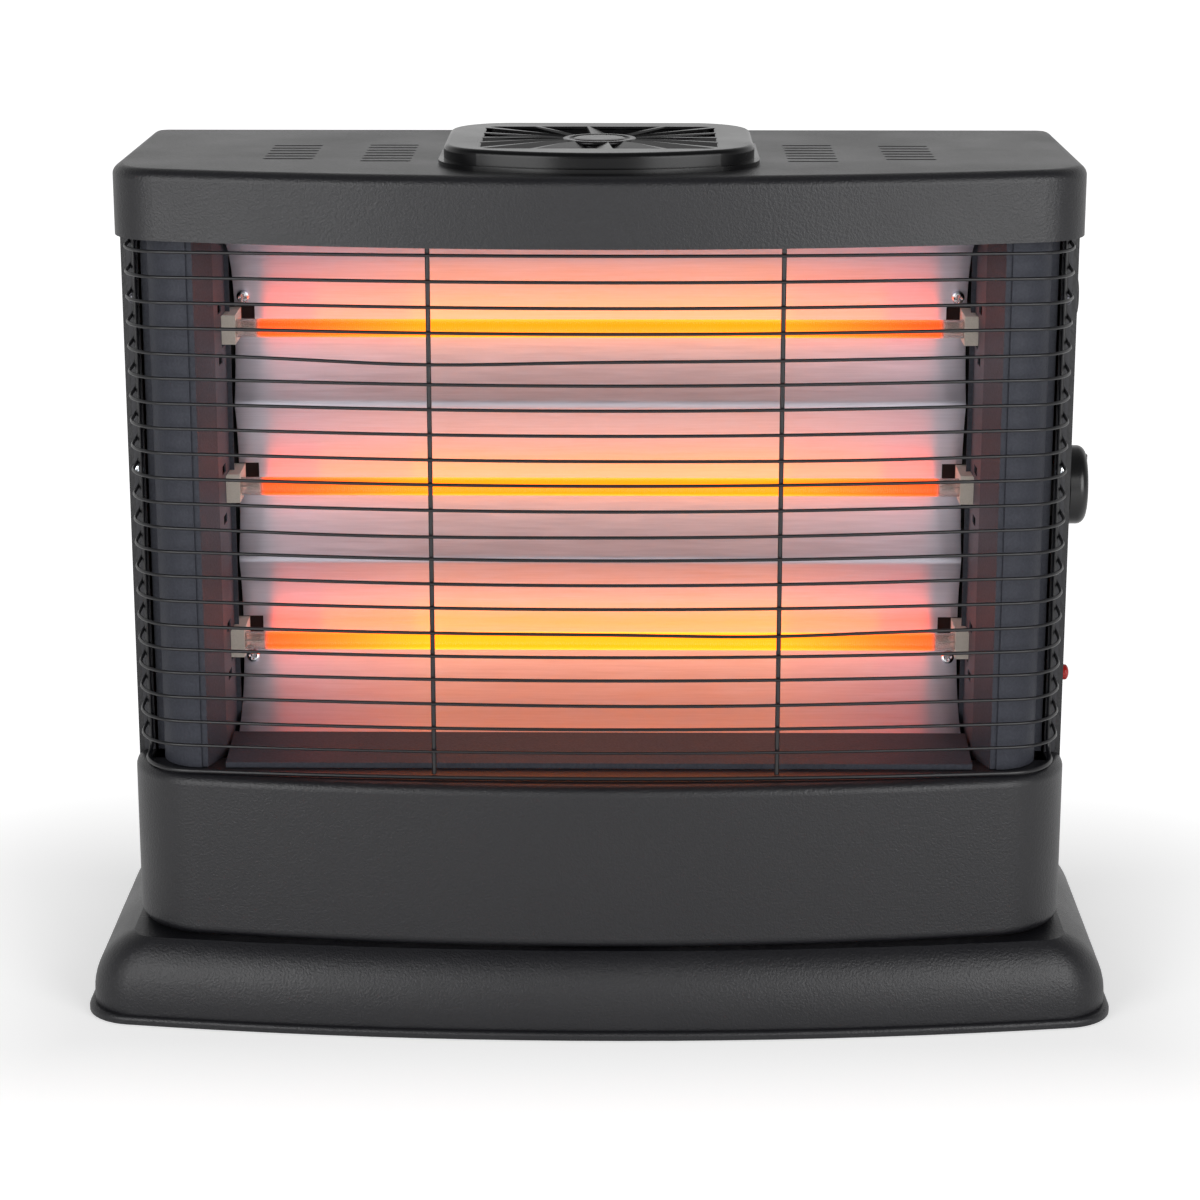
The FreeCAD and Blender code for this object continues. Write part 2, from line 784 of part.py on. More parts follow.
# Sill between the ledge and the reflector's lower lip
body = new_body("sill")
sill_low = "base_height + fascia_lift + fascia_height + fit_gap"
sill_top = f"{sill_low} + sill_rise"
corners = [
    ("-sill_front", sill_low), ("-sill_front", f"{sill_low} + sill_step"), ("-sill_back", sill_top),
    ("-sill_back", f"{sill_top} - sheet_gauge"),
    ("-sill_front + sheet_gauge", f"{sill_low} + sill_step - sheet_gauge"),
    ("-sill_front + sheet_gauge", sill_low),
]
sill_width = (
    "casing_width - 2 * (strip_edge + strip_width + column_gap + column_flange + column_round"
    " + groove_width + cheek_lean + column_gauge + fit_gap)")
pad(body, outline_sketch(body, "YZ_Plane", "sill_profile", corners), sill_width)
place(body, x=f"-({sill_width}) / 2")

# Reflector, one sheet rolled into three troughs
def reflector_side(gauge):
    """Return the reflector's profile as arcs, drawn back by a gauge, from its lower to its upper lip."""
    radius = value("trough_radius") + gauge
    lip = value("lip_radius") + gauge
    crest = value("ridge_round") - gauge
    axis_y = value("trough_back - trough_radius")
    lip_y = value("trough_back - lip_radius")
    turn = math.radians(value("lip_angle"))
    half_pitch = value("tube_pitch / 2")
    crest_y = axis_y + math.sqrt((radius + crest) ** 2 - half_pitch ** 2)
    lean = math.asin(half_pitch / (radius + crest))

    def at(centre_y, centre_z, span, angle):
        return Vector(0, centre_y + span * math.cos(angle), centre_z + span * math.sin(angle))

    low = tube_heights[0]
    high = tube_heights[-1]
    arcs = [Part.Arc(at(lip_y, low, lip, -turn), at(lip_y, low, lip, -turn / 2), at(lip_y, low, lip, 0))]
    for k, z in enumerate(tube_heights):
        first = -lean if k else 0
        last = lean if k < len(tube_heights) - 1 else 0
        arcs.append(Part.Arc(
            at(axis_y, z, radius, first), at(axis_y, z, radius, (first + last) / 2),
            at(axis_y, z, radius, last)))
        if last:
            ridge = z + half_pitch
            arcs.append(Part.Arc(
                at(crest_y, ridge, crest, math.pi + lean), at(crest_y, ridge, crest, math.pi),
                at(crest_y, ridge, crest, math.pi - lean)))
    arcs.append(Part.Arc(at(lip_y, high, lip, 0), at(lip_y, high, lip, turn / 2), at(lip_y, high, lip, turn)))
    return [arc.toShape() for arc in arcs]


front_arcs = reflector_side(0)
back_arcs = reflector_side(value("reflector_gauge"))
ends = [
    Part.LineSegment(front_arcs[k].Vertexes[v].Point, back_arcs[k].Vertexes[v].Point).toShape()
    for k, v in ((0, 0), (-1, 1))
]
profile = Part.Wire(Part.__sortEdges__(front_arcs + back_arcs + ends))
reflector = Part.Face(profile).extrude(Vector(value("reflector_width"), 0, 0))
reflector.translate(Vector(-value("reflector_width / 2"), 0, 0))
notches = []
screw_holes = []
tall = value("notch_height / 2")
screw_lean = math.asin(value("reflector_screw_rise / lip_radius"))
screw_y = value("trough_back - lip_radius") + value("lip_radius") * math.cos(screw_lean)
screw_x = value("reflector_width / 2 - reflector_screw_inset")
reflector_seats = []
for x in (-screw_x, screw_x):
    for z, up in ((tube_heights[0], -1), (tube_heights[-1], 1)):
        inward = Vector(0, math.cos(screw_lean), up * math.sin(screw_lean))
        reflector_seats.append((Vector(x, screw_y, z + up * value("reflector_screw_rise")), inward))
deep = value("trough_back + reflector_gauge + cut_overrun")
for sign in (-1, 1):
    outer = sign * value("reflector_width / 2 + cut_overrun")
    inner = sign * value("reflector_width / 2 - notch_depth")
    for z in tube_heights:
        notches.append(block_at(
            min(outer, inner), max(outer, inner), -value("tube_front"), deep, z - tall, z + tall))
for seat, inward in reflector_seats:
    screw_holes.append(Part.makeCylinder(
        value("screw_shank / 2 + cap_gap"), value("cut_overrun * 2"),
        seat - inward * value("cut_overrun"), inward))
feature("reflector", reflector.cut(notches + screw_holes))

# Brackets that carry the reflector's ends and the ceramic caps
for side, sign in SIDES:
    wall = f"{sign} * (casing_width / 2 - sheet_gauge)"
    wall_inner = f"{sign} * (casing_width / 2 - sheet_gauge - bracket_gauge)"
    free_end = f"{sign} * (casing_width / 2 - sheet_gauge - bracket_reach)"
    seat = "trough_back + reflector_gauge"
    corners = [
        (free_end, seat), (wall, seat), (wall, f"{seat} + bracket_lip"),
        (wall_inner, f"{seat} + bracket_lip"), (wall_inner, f"{seat} + bracket_gauge"),
        (free_end, f"{seat} + bracket_gauge"),
    ]
    body = new_body(f"reflector_bracket_{side}")
    bracket_low = "tube_centre_height - tube_pitch - bracket_end"
    pad(body, outline_sketch(body, "XY_Plane", f"bracket_plan_{side}", corners),
        "tube_pitch * 2 + bracket_end * 2")
    place(body, z=bracket_low)

# Quartz tubes, heating coils and ceramic end caps
cap_inner = "tube_length / 2 - cap_seat"
for k, name in enumerate(TUBE_NAMES):
    height = f"tube_centre_height + {k - 1} * tube_pitch"
    body = new_body(f"quartz_tube_{name}")
    pad(body, circle_sketch(body, "YZ_Plane", f"tube_rings_{name}", [
        ("-tube_front", height, "tube_diameter / 2"),
        ("-tube_front", height, "tube_diameter / 2 - tube_wall")]), "tube_length")
    place(body, x="-tube_length / 2")

    winding = cylinder(
        f"winding_{name}", "coil_diameter", "coil_length", Vector(1, 0, 0),
        "-coil_length / 2", "-tube_front", height)
    core = cylinder(
        f"winding_bore_{name}", "coil_diameter - coil_wire * 2", "coil_length - coil_wire * 2",
        Vector(1, 0, 0), "-coil_length / 2 + coil_wire", "-tube_front", height)
    sleeve = cut(f"winding_sleeve_{name}", winding, core)
    tails = []
    for side, sign in SIDES:
        tails.append(cylinder(
            f"tail_{name}_{side}", "lead_diameter",
            f"{cap_inner} + cap_thickness + lead_tail - coil_length / 2", Vector(sign, 0, 0),
            f"{sign} * coil_length / 2", "-tube_front", height))
    node(f"heating_coil_{name}", fuse(f"coil_{name}", [sleeve] + tails))

    for side, sign in SIDES:
        low_x = cap_inner if sign > 0 else f"-({cap_inner}) - cap_thickness"
        cap_back = "trough_back + reflector_gauge"
        block = box(
            f"cap_block_{name}_{side}", "cap_thickness", f"tube_front + cap_depth / 2 + {cap_back}",
            "cap_height", low_x, "-tube_front - cap_depth / 2", f"{height} - cap_height / 2")
        socket = cylinder(
            f"cap_socket_{name}_{side}", "tube_diameter + cap_gap * 2", "cap_seat + cap_gap",
            Vector(sign, 0, 0), f"{sign} * ({cap_inner})", "-tube_front", height)
        passage = cylinder(
            f"cap_passage_{name}_{side}", "lead_diameter + cap_gap * 2", "cap_thickness + cut_overrun",
            Vector(sign, 0, 0), f"{sign} * ({cap_inner})", "-tube_front", height)
        bored = cut(f"cap_bored_{name}_{side}", block, socket)
        node(f"ceramic_cap_{name}_{side}", cut(f"cap_{name}_{side}", bored, passage))

# Wire guard: rows hooked round a bent frame rod, with two uprights
guard_front = -value("cover_front") + value("guard_inset")
guard_bow = value("guard_bow")
bow_centre = guard_front + guard_bow
strip_face = -value("flange_front + strip_gauge")
guard_low = fascia_top + value("guard_bottom") + value("frame_wire / 2")
wire_step = value("row_wire / 2 + frame_wire / 2 + wire_gap")


def guard_path(z, side, end_y, bend, rise, lean):
    """Return a guard wire's path: round the front, back along both sides and up at its ends."""
    corner = value("guard_corner")
    corner_x = side - corner
    corner_y = bow_centre - math.sqrt((guard_bow - corner) ** 2 - corner_x ** 2)
    stretch = guard_bow / (guard_bow - corner)
    touch = Vector(corner_x * stretch, bow_centre + (corner_y - bow_centre) * stretch, z)
    bisector = (Vector(corner_x, corner_y - bow_centre, 0).normalize() + Vector(1, 0, 0)).normalize()
    corner_middle = Vector(corner_x, corner_y, z) + bisector * corner
    corner_end = Vector(side, corner_y, z)
    side_end = Vector(side, end_y - bend, z)
    inward = Vector(-lean, 0, math.sqrt(1 - lean ** 2))
    bend_centre = side_end + inward * bend
    bend_end = bend_centre + Vector(0, bend, 0)
    bend_middle = bend_centre + (Vector(0, 1, 0) - inward) * (bend * half)
    tip = bend_end + inward * rise

    def flip(point):
        return Vector(-point.x, point.y, point.z)

    right = [
        Part.Arc(touch, corner_middle, corner_end),
        Part.LineSegment(corner_end, side_end),
        Part.Arc(side_end, bend_middle, bend_end),
        Part.LineSegment(bend_end, tip),
    ]
    left = [
        Part.LineSegment(flip(tip), flip(bend_end)),
        Part.Arc(flip(bend_end), flip(bend_middle), flip(side_end)),
        Part.LineSegment(flip(side_end), flip(corner_end)),
        Part.Arc(flip(corner_end), flip(corner_middle), flip(touch)),
    ]
    front = Part.Arc(flip(touch), Vector(0, guard_front, z), touch)
    return Part.Wire([edge.toShape() for edge in left + [front] + right])


rows = []
row_side = value("casing_width / 2 - guard_side_gap")
row_end = strip_face - value("row_wire / 2 + cap_gap")
for k in range(ROW_COUNT):
    z = guard_low + value("row_first") + k * value("row_pitch")
    path = guard_path(z, row_side, row_end, value("hook_round"), value("hook_tail"), HOOK_LEAN_SHARE)
    rows.append(round_wire(path, value("row_wire")))
feature("guard_rows", Part.makeCompound(rows))

frame_rise = value("hood_top - column_top_gap - frame_round") - guard_low
frame_path = guard_path(
    guard_low, row_side - wire_step, row_end - wire_step, value("frame_round"), frame_rise, 0)
feature("guard_frame", round_wire(frame_path, value("frame_wire")))

uprights = []
for sign in (-1, 1):
    x = sign * value("upright_spread / 2") + value("upright_shift")
    row_y = bow_centre - math.sqrt(guard_bow ** 2 - x ** 2)
    y = row_y + wire_step
    low = guard_low + value("frame_wire / 2")
    top_row = guard_low + value("row_first") + (ROW_COUNT - 1) * value("row_pitch")
    tall = top_row + value("upright_overhang") - low
    uprights.append(Part.makeCylinder(value("frame_wire / 2"), tall, Vector(x, y, low)))
feature("guard_uprights", Part.makeCompound(uprights))

# Vent grille with a ring of tilted blades
vent_y = value("vent_place_y")
deck = value("hood_top")


def vent_plan(spread):
    """Return the vent's outline on the hood, grown by a spread."""
    reach = value("vent_depth / 2") + spread
    corner = value("vent_corner") + spread
    return rounded_plan(
        value("vent_width / 2") + spread, vent_y - reach, vent_y + reach, value("vent_bow") + spread,
        corner, corner, deck)


flange = prism(vent_plan(value("vent_flange")), value("vent_flange_height"))
crown = prism(vent_plan(0), value("vent_height"))
crown = crown.makeFillet(value("vent_edge_round"), edges_at_height(crown, deck + value("vent_height")))
spigot = prism(slot_plan(
    value("vent_window_width + vent_rim_wall * 2"), value("vent_window_depth + vent_rim_wall * 2"),
    value("vent_window_corner + vent_rim_wall"), 0, vent_y, deck - value("vent_spigot")),
    value("vent_spigot + vent_flange_height"))
window = prism(slot_plan(
    value("vent_window_width"), value("vent_window_depth"), value("vent_window_corner"), 0, vent_y,
    deck - value("vent_spigot + cut_overrun")), value("vent_spigot + vent_height + cut_overrun * 2"))
blade_room = prism(slot_plan(
    value("vent_window_width + vent_rim_wall"), value("vent_window_depth + vent_rim_wall"),
    value("vent_window_corner"), 0, vent_y, deck), value("vent_height"))
hub_low = deck + value("vent_height - hub_height - hub_drop")
hub = Part.makeCylinder(value("hub_diameter / 2"), value("hub_height"), Vector(0, vent_y, hub_low))
hub_room = Part.makeCylinder(
    value("hub_diameter / 2 - blade_gauge"), value("vent_height"), Vector(0, vent_y, deck))
blades = []
blade_z = hub_low + value("hub_height - blade_gauge")
for facing in (0, 180):
    for turn in BLADE_TURNS:
        for sign in ((1,) if turn == 0 else (-1, 1)):
            corners = [
                Vector(-value("blade_root / 2"), 0, 0), Vector(value("blade_root / 2"), 0, 0),
                Vector(value("blade_tip / 2"), value("vent_window_width"), 0),
                Vector(-value("blade_tip / 2"), value("vent_window_width"), 0),
            ]
            blade = Part.Face(Part.makePolygon(corners + corners[:1])).extrude(
                Vector(0, 0, value("blade_gauge")))
            blade.rotate(Vector(), Vector(0, 1, 0), sign * value("blade_tilt"))
            blade.rotate(Vector(), Vector(0, 0, 1), facing + sign * turn)
            blade.translate(Vector(0, vent_y, blade_z))
            blades.append(blade.common(blade_room).cut(hub_room))
rim_ring = crown.fuse([flange, spigot]).cut(window)
feature("vent_grille", rim_ring.fuse(blades + [hub]).removeSplitter())

# Selector knob, its shaft and its switch
body = new_body("selector_knob")
knob_foot = "casing_width / 2 + knob_gap"
disc = pad(
    body, circle_sketch(body, "YZ_Plane", "knob_disc", [("0", "0", "knob_diameter / 2")]), "knob_height")
rim_edges = [
    f"Edge{k}" for k, edge in enumerate(disc.Shape.Edges, start=1)
    if isinstance(edge.Curve, Part.Circle) and edge.Curve.Center.x > value("knob_height / 2")
]
rounding = body.newObject("PartDesign::Fillet", "knob_rounding")
rounding.Base = (disc, rim_edges)
bind(rounding, Radius="knob_round")
doc.recompute()
pointer = outline_sketch(body, "YZ_Plane", "pointer_outline", [
    ("-pointer_width / 2", "knob_diameter / 2 - knob_round - pointer_length"),
    ("pointer_width / 2", "knob_diameter / 2 - knob_round - pointer_length"),
    ("pointer_width / 2", "knob_diameter / 2 - knob_round"),
    ("-pointer_width / 2", "knob_diameter / 2 - knob_round")])
pad(body, pointer, "knob_height + pointer_rise")
socket = circle_sketch(body, "YZ_Plane", "knob_socket", [("0", "0", "shaft_diameter / 2 + shaft_gap")])
pocket(body, socket, "shaft_seat", backwards=True)
place(body, knob_foot, "selector_y", "selector_height")

shaft_low = "casing_width / 2 - sheet_gauge - shaft_seat"
node("selector_shaft", cylinder(
    "shaft", "shaft_diameter", f"{knob_foot} + shaft_seat - fit_gap - ({shaft_low})", Vector(1, 0, 0),
    shaft_low, "selector_y", "selector_height"))
switch_block = box(
    "switch_block", "switch_depth", "switch_side", "switch_side",
    "casing_width / 2 - sheet_gauge - switch_depth", "selector_y - switch_side / 2",
    "selector_height - switch_side / 2")
switch_bore = cylinder(
    "switch_bore", "shaft_diameter + shaft_gap * 2", "shaft_seat + shaft_gap + cut_overrun", Vector(1, 0, 0),
    f"{shaft_low} - shaft_gap", "selector_y", "selector_height")
node("selector_switch", cut("switch_body", switch_block, switch_bore))

# Pilot lamp: a domed lens in a holder that snaps through the side wall
lens_rod = cylinder(
    "lens_rod", "pilot_diameter", "sheet_gauge + pilot_bezel_rise + pilot_reach - pilot_diameter / 4",
    Vector(1, 0, 0), "casing_width / 2 - sheet_gauge", "pilot_y", "pilot_height")
lens_dome = doc.addObject("Part::Ellipsoid", "lens_dome")
bind(lens_dome, Radius1="pilot_diameter / 4", Radius2="pilot_diameter / 2")
lens_dome.Placement = FreeCAD.Placement(Vector(), Rotation(Vector(0, 0, 1), Vector(1, 0, 0)))
place(
    lens_dome, "casing_width / 2 + pilot_bezel_rise + pilot_reach - pilot_diameter / 4", "pilot_y",
    "pilot_height")
node("pilot_lens", fuse("lens", [lens_rod, lens_dome]))
bezel_disc = cylinder(
    "bezel_disc", "pilot_bezel", "pilot_bezel_rise", Vector(1, 0, 0), "casing_width / 2", "pilot_y",
    "pilot_height")
bezel_hole = cylinder(
    "bezel_hole", "pilot_diameter + cap_gap * 2", "pilot_bezel_rise + cut_overrun", Vector(1, 0, 0),
    "casing_width / 2", "pilot_y", "pilot_height")
node("pilot_bezel", cut("bezel", bezel_disc, bezel_hole))
node("pilot_lamp_body", cylinder(
    "lamp_body", "pilot_bezel", "pilot_depth", Vector(-1, 0, 0), "casing_width / 2 - sheet_gauge",
    "pilot_y", "pilot_height"))

# Carry handles: moulded cups that pass through the side walls
for side, sign in SIDES:
    grip = prism(slot_plan(
        value("handle_length"), value("handle_width"), value("handle_width / 2") * SLOT_END_SHARE, 0, 0, 0),
        value("handle_rise"))
    grip = grip.makeFillet(value("handle_round"), edges_at_height(grip, value("handle_rise")))
    cup_floor = value("handle_rise - finger_depth - finger_wall")
    cup = prism(slot_plan(
        value("finger_length + finger_wall * 2"), value("finger_width + finger_wall * 2"),
        value("finger_width / 2"), 0, 0, cup_floor), -cup_floor)
    recess = prism(slot_plan(
        value("finger_length"), value("finger_width"), value("finger_width / 2 - finger_wall"), 0, 0,
        value("handle_rise - finger_depth")), value("finger_depth + cut_overrun"))
    grip = grip.fuse(cup).cut(recess)
    grip.rotate(Vector(), Vector(0, 0, 1), 90)
    grip.rotate(Vector(), Vector(0, 1, 0), sign * 90)
    grip.translate(Vector(sign * value("casing_width / 2"), value("handle_y"), value("handle_height")))
    feature(f"carry_handle_{side}", grip)


# Screws: pan heads that stand on their seats
def screw(name, head_diameter, head_rise, axis, x, y, z):
    """Add a pan-head screw whose head stands out along an axis from its seat."""
    head = doc.addObject("Part::Ellipsoid", f"{name}_head")
    bind(head, Radius1=head_rise, Radius2=f"{head_diameter} / 2")
    head.Angle1 = 0
    head.Placement = FreeCAD.Placement(Vector(), Rotation(Vector(0, 0, 1), axis))
    place(head, x, y, z)
    shank = cylinder(f"{name}_shank", "screw_shank", "screw_length", axis * -1, x, y, z)
    return fuse(name, [head, shank])


LARGE = ("screw_head", "screw_head_rise")
SMALL = ("small_screw_head", "small_head_rise")
flange_screws = []
strip_screws = []
back_screws = []
for side, sign in SIDES:
    flange_screws.append(screw(
        f"flange_screw_{side}", *SMALL, Vector(0, -1, 0),
        f"{sign} * (casing_width / 2 - strip_edge - strip_width / 2)",
        "-flange_front - strip_gauge", "flange_screw_height"))
    strip_screws.append(screw(
        f"strip_screw_{side}", *SMALL, Vector(0, -1, 0),
        f"{sign} * (casing_width / 2 - strip_edge - strip_width / 2)",
        "-flange_front - strip_gauge", "strip_screw_height"))
    for k in range(BACK_SCREW_ROWS):
        share = (k + 0.5) / BACK_SCREW_ROWS
        back_screws.append(screw(
            f"back_screw_{side}_{k}", *LARGE, Vector(0, 1, 0),
            f"{sign} * (casing_width / 2 - back_screw_inset)",
            "casing_back + sheet_gauge", f"{back_bottom} + ({back_top} - ({back_bottom})) * {share}"))
reflector_screws = []
for k, (seat, inward) in enumerate(reflector_seats):
    spot = seat - inward * value("fit_gap")
    reflector_screws.append(screw(f"reflector_screw_{k}", *LARGE, inward * -1, spot.x, spot.y, spot.z))
node("flange_screws", group("flange_screw_pair", flange_screws))
node("strip_screws", group("strip_screw_pair", strip_screws))
node("back_screws", group("back_screw_set", back_screws))
node("reflector_screws", group("reflector_screw_set", reflector_screws))

# Tip-over switch on the floor plate, with a plunger that stands on the floor
tip_floor = "floor_plate_height + sheet_gauge"
tip_block = box(
    "tip_block", "tip_length", "tip_width", "tip_height", "tip_x - tip_length / 2",
    "tip_y - tip_width / 2", tip_floor)
tip_bore = cylinder(
    "tip_bore", "plunger_diameter + plunger_gap * 2",
    f"plunger_length + plunger_gap - ({tip_floor}) + cut_overrun",
    Vector(0, 0, 1), "tip_x", "tip_y", f"{tip_floor} - cut_overrun")
node("tip_switch", cut("tip_body", tip_block, tip_bore))
node("tip_plunger", cylinder(
    "plunger", "plunger_diameter", "plunger_length", Vector(0, 0, 1), "tip_x", "tip_y", 0))

# Terminal block on the base, with a wire socket for each way
terminal = box(
    "terminal_bar", "terminal_length", "terminal_width", "terminal_height", "-terminal_length / 2",
    "terminal_y - terminal_width / 2", "base_height")
for k in range(TERMINAL_WAYS):
    way_x = f"({k} - ({TERMINAL_WAYS} - 1) / 2) * terminal_bore_pitch"
    way = cylinder(
        f"terminal_way_{k}", "terminal_bore", "terminal_height", Vector(0, 0, 1), way_x, "terminal_y",
        "base_height + terminal_height / 2")
    terminal = cut(f"terminal_cut_{k}", terminal, way)
node("terminal_block", terminal)

# Bush for the mains lead
bush_rear = "casing_back + sheet_gauge"
bush_barrel = cylinder(
    "bush_barrel", "bush_diameter", "bush_depth", Vector(0, -1, 0), "bush_x", bush_rear, "bush_height")
bush_collar = cylinder(
    "bush_collar", "bush_flange", "bush_flange_height", Vector(0, 1, 0), "bush_x", bush_rear, "bush_height")
bush_hole = cylinder(
    "bush_hole_tool", "bush_bore", "bush_depth + bush_flange_height + cut_overrun * 2", Vector(0, 1, 0),
    "bush_x", f"{bush_rear} - bush_depth - cut_overrun", "bush_height")
node("cord_bush", cut("bush", fuse("bush_solid", [bush_barrel, bush_collar]), bush_hole))


# Insulated leads inside the casing
def lead(points):
    """Return a round lead along straight runs with equal bends between them."""
    bend = value("lead_bend")
    edges = []
    start = points[0]
    for k in range(1, len(points) - 1):
        before = (points[k - 1] - points[k]).normalize()
        after = (points[k + 1] - points[k]).normalize()
        half_turn = before.getAngle(after) / 2
        setback = bend / math.tan(half_turn)
        first = points[k] + before * setback
        last = points[k] + after * setback
        bisector = (before + after).normalize()
        middle = points[k] + bisector * (bend / math.sin(half_turn) - bend)
        edges.append(Part.LineSegment(start, first).toShape())
        edges.append(Part.Arc(first, middle, last).toShape())
        start = last
    edges.append(Part.LineSegment(start, points[-1]).toShape())
    return round_wire(Part.Wire(edges), value("lead_outer"))


tail_end = value(f"{cap_inner} + cap_thickness + lead_tail + cap_gap")
tube_y = -value("tube_front")
terminal_top = value("base_height + terminal_height + cap_gap")
run_height = terminal_top + value("lead_bend * 2")
switch_face = value("casing_width / 2 - sheet_gauge - switch_depth - cap_gap")
common_leads = []
switch_leads = []
for k, z in enumerate(tube_heights):
    run_x = tail_end + value("lead_bend") * (k + 1.5)
    way_x = (k - (TERMINAL_WAYS - 1) / 2) * value("terminal_bore_pitch")
    level = run_height + value("lead_outer * 2") * k
    common_leads.append(lead([
        Vector(-tail_end, tube_y, z), Vector(-run_x, tube_y, z), Vector(-run_x, tube_y, level),
        Vector(-run_x, value("terminal_y"), level), Vector(way_x, value("terminal_y"), level),
        Vector(way_x, value("terminal_y"), terminal_top)]))
    landing = value("selector_height") + (k - 1) * value("switch_side / 3")
    step_x = (tail_end + switch_face) / 2
    if k == 1:
        switch_leads.append(lead([
            Vector(tail_end, tube_y, z), Vector(switch_face, tube_y, z)]))
    else:
        switch_leads.append(lead([
            Vector(tail_end, tube_y, z), Vector(step_x, tube_y, z), Vector(step_x, tube_y, landing),
            Vector(switch_face, tube_y, landing)]))
feature("common_leads", Part.makeCompound(common_leads))
feature("switch_leads", Part.makeCompound(switch_leads))
supply_x = (TERMINAL_WAYS - 1) / 2 * value("terminal_bore_pitch")
supply_top = value("selector_height - switch_side / 2 - cap_gap")
supply_rise = switch_face + value("switch_depth / 2")
supply_y = value("selector_y + switch_side / 4")
feature("supply_lead", lead([
    Vector(supply_x, value("terminal_y"), terminal_top), Vector(supply_x, value("terminal_y"), run_height),
    Vector(supply_rise, value("terminal_y"), run_height), Vector(supply_rise, supply_y, run_height),
    Vector(supply_rise, supply_y, supply_top)]))

# Check every object, then write one file for each sub-part
doc.recompute()
for obj in doc.Objects:
    if "Invalid" in obj.State or "Error" in obj.State:
        raise RuntimeError(f"{obj.Label} failed to build")
for label, obj in nodes.items():
    if obj.Shape.isNull() or not obj.Shape.isValid():
        raise RuntimeError(f"{label} has no valid shape")
os.makedirs("parts", exist_ok=True)
for label, obj in nodes.items():
    obj.Shape.exportStep(f"parts/{label}.step")
print(len(nodes), "sub-parts written")
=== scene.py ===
# %% [markdown]
# # A free-standing quartz heater
# The heater's sheet metal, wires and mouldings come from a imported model, which is loaded here as a fixed
# frame. This lesson dresses it: first the measuring tools, then one finish at a time, then the pieces
# that need finer shapes than solid modelling gives, and last the studio.

# %% Load the frame
import json
import math
import bmesh
import bpy
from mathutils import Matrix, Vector


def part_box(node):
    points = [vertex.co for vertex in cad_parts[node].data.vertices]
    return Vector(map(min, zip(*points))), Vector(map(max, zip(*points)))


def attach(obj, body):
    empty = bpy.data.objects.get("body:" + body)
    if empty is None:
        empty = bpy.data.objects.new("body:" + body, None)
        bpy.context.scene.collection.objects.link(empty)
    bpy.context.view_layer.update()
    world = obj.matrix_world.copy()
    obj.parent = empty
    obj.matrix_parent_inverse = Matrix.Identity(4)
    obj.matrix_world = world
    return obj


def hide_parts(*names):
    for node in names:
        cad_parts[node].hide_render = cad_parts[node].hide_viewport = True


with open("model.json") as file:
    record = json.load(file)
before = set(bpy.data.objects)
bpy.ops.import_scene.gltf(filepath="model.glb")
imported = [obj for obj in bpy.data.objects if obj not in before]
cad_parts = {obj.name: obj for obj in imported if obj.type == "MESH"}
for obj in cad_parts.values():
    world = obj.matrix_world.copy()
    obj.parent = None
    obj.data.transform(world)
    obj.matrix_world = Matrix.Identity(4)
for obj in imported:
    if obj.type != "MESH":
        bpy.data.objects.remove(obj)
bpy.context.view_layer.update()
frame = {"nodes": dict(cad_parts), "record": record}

MM = 0.001
print("pieces in the frame:", len(frame["nodes"]))

# %% [markdown]
# ## Colour and nodes
# Screens show sRGB, but light adds up in linear numbers, so each colour is written as the hex value that
# the eye sees and turned to linear once. One small function adds a node: a plain value fills its socket or
# setting, and another node's socket is linked. Writing links this way keeps each finish readable.

# %% Colour and node tools
def linear(hex_code):
    """Turn a hex colour that the eye sees into linear red, green, blue and alpha."""
    parts = [int(hex_code[k:k + 2], 16) / 255 for k in (1, 3, 5)]
    return [*(c / 12.92 if c <= 0.04045 else ((c + 0.055) / 1.055) ** 2.4 for c in parts), 1]


def add_node(tree, kind, settings):
    """Add a node, or find it by name, and give it settings, socket values and links."""
    made = tree.nodes.get(kind) or tree.nodes.new(kind)
    for name, setting in settings.items():
        if not isinstance(name, int) and name not in made.inputs:
            setattr(made, name, setting)
        elif isinstance(setting, bpy.types.NodeSocket):
            tree.links.new(setting, made.inputs[name])
        else:
            made.inputs[name].default_value = setting
    return made


def per_metre(size_mm):
    """Return the texture scale that repeats a pattern once in a size."""
    return 1 / (size_mm * MM)


def new_finish(name):
    """Start a material and return it with its node tree and the place of each point on the object."""
    material = bpy.data.materials.new(name)
    material.use_nodes = True
    tree = material.node_tree
    return material, tree, add_node(tree, "ShaderNodeTexCoord", {}).outputs["Object"]


# %% [markdown]
# ## Grained finishes
# Powder coat, moulded plastic, rubber and unglazed ceramic differ in colour and gloss but share one build:
# a fine grain that shifts the colour and lifts the surface, and slow clouds in the gloss from handling.
# One function makes them all, and each call says what the real surface is. Real grains are often finer
# than half a millimetre. They are drawn up to three times that size, so that they show from a step away.

# %% Grained finish
CLOUD_MM = 60


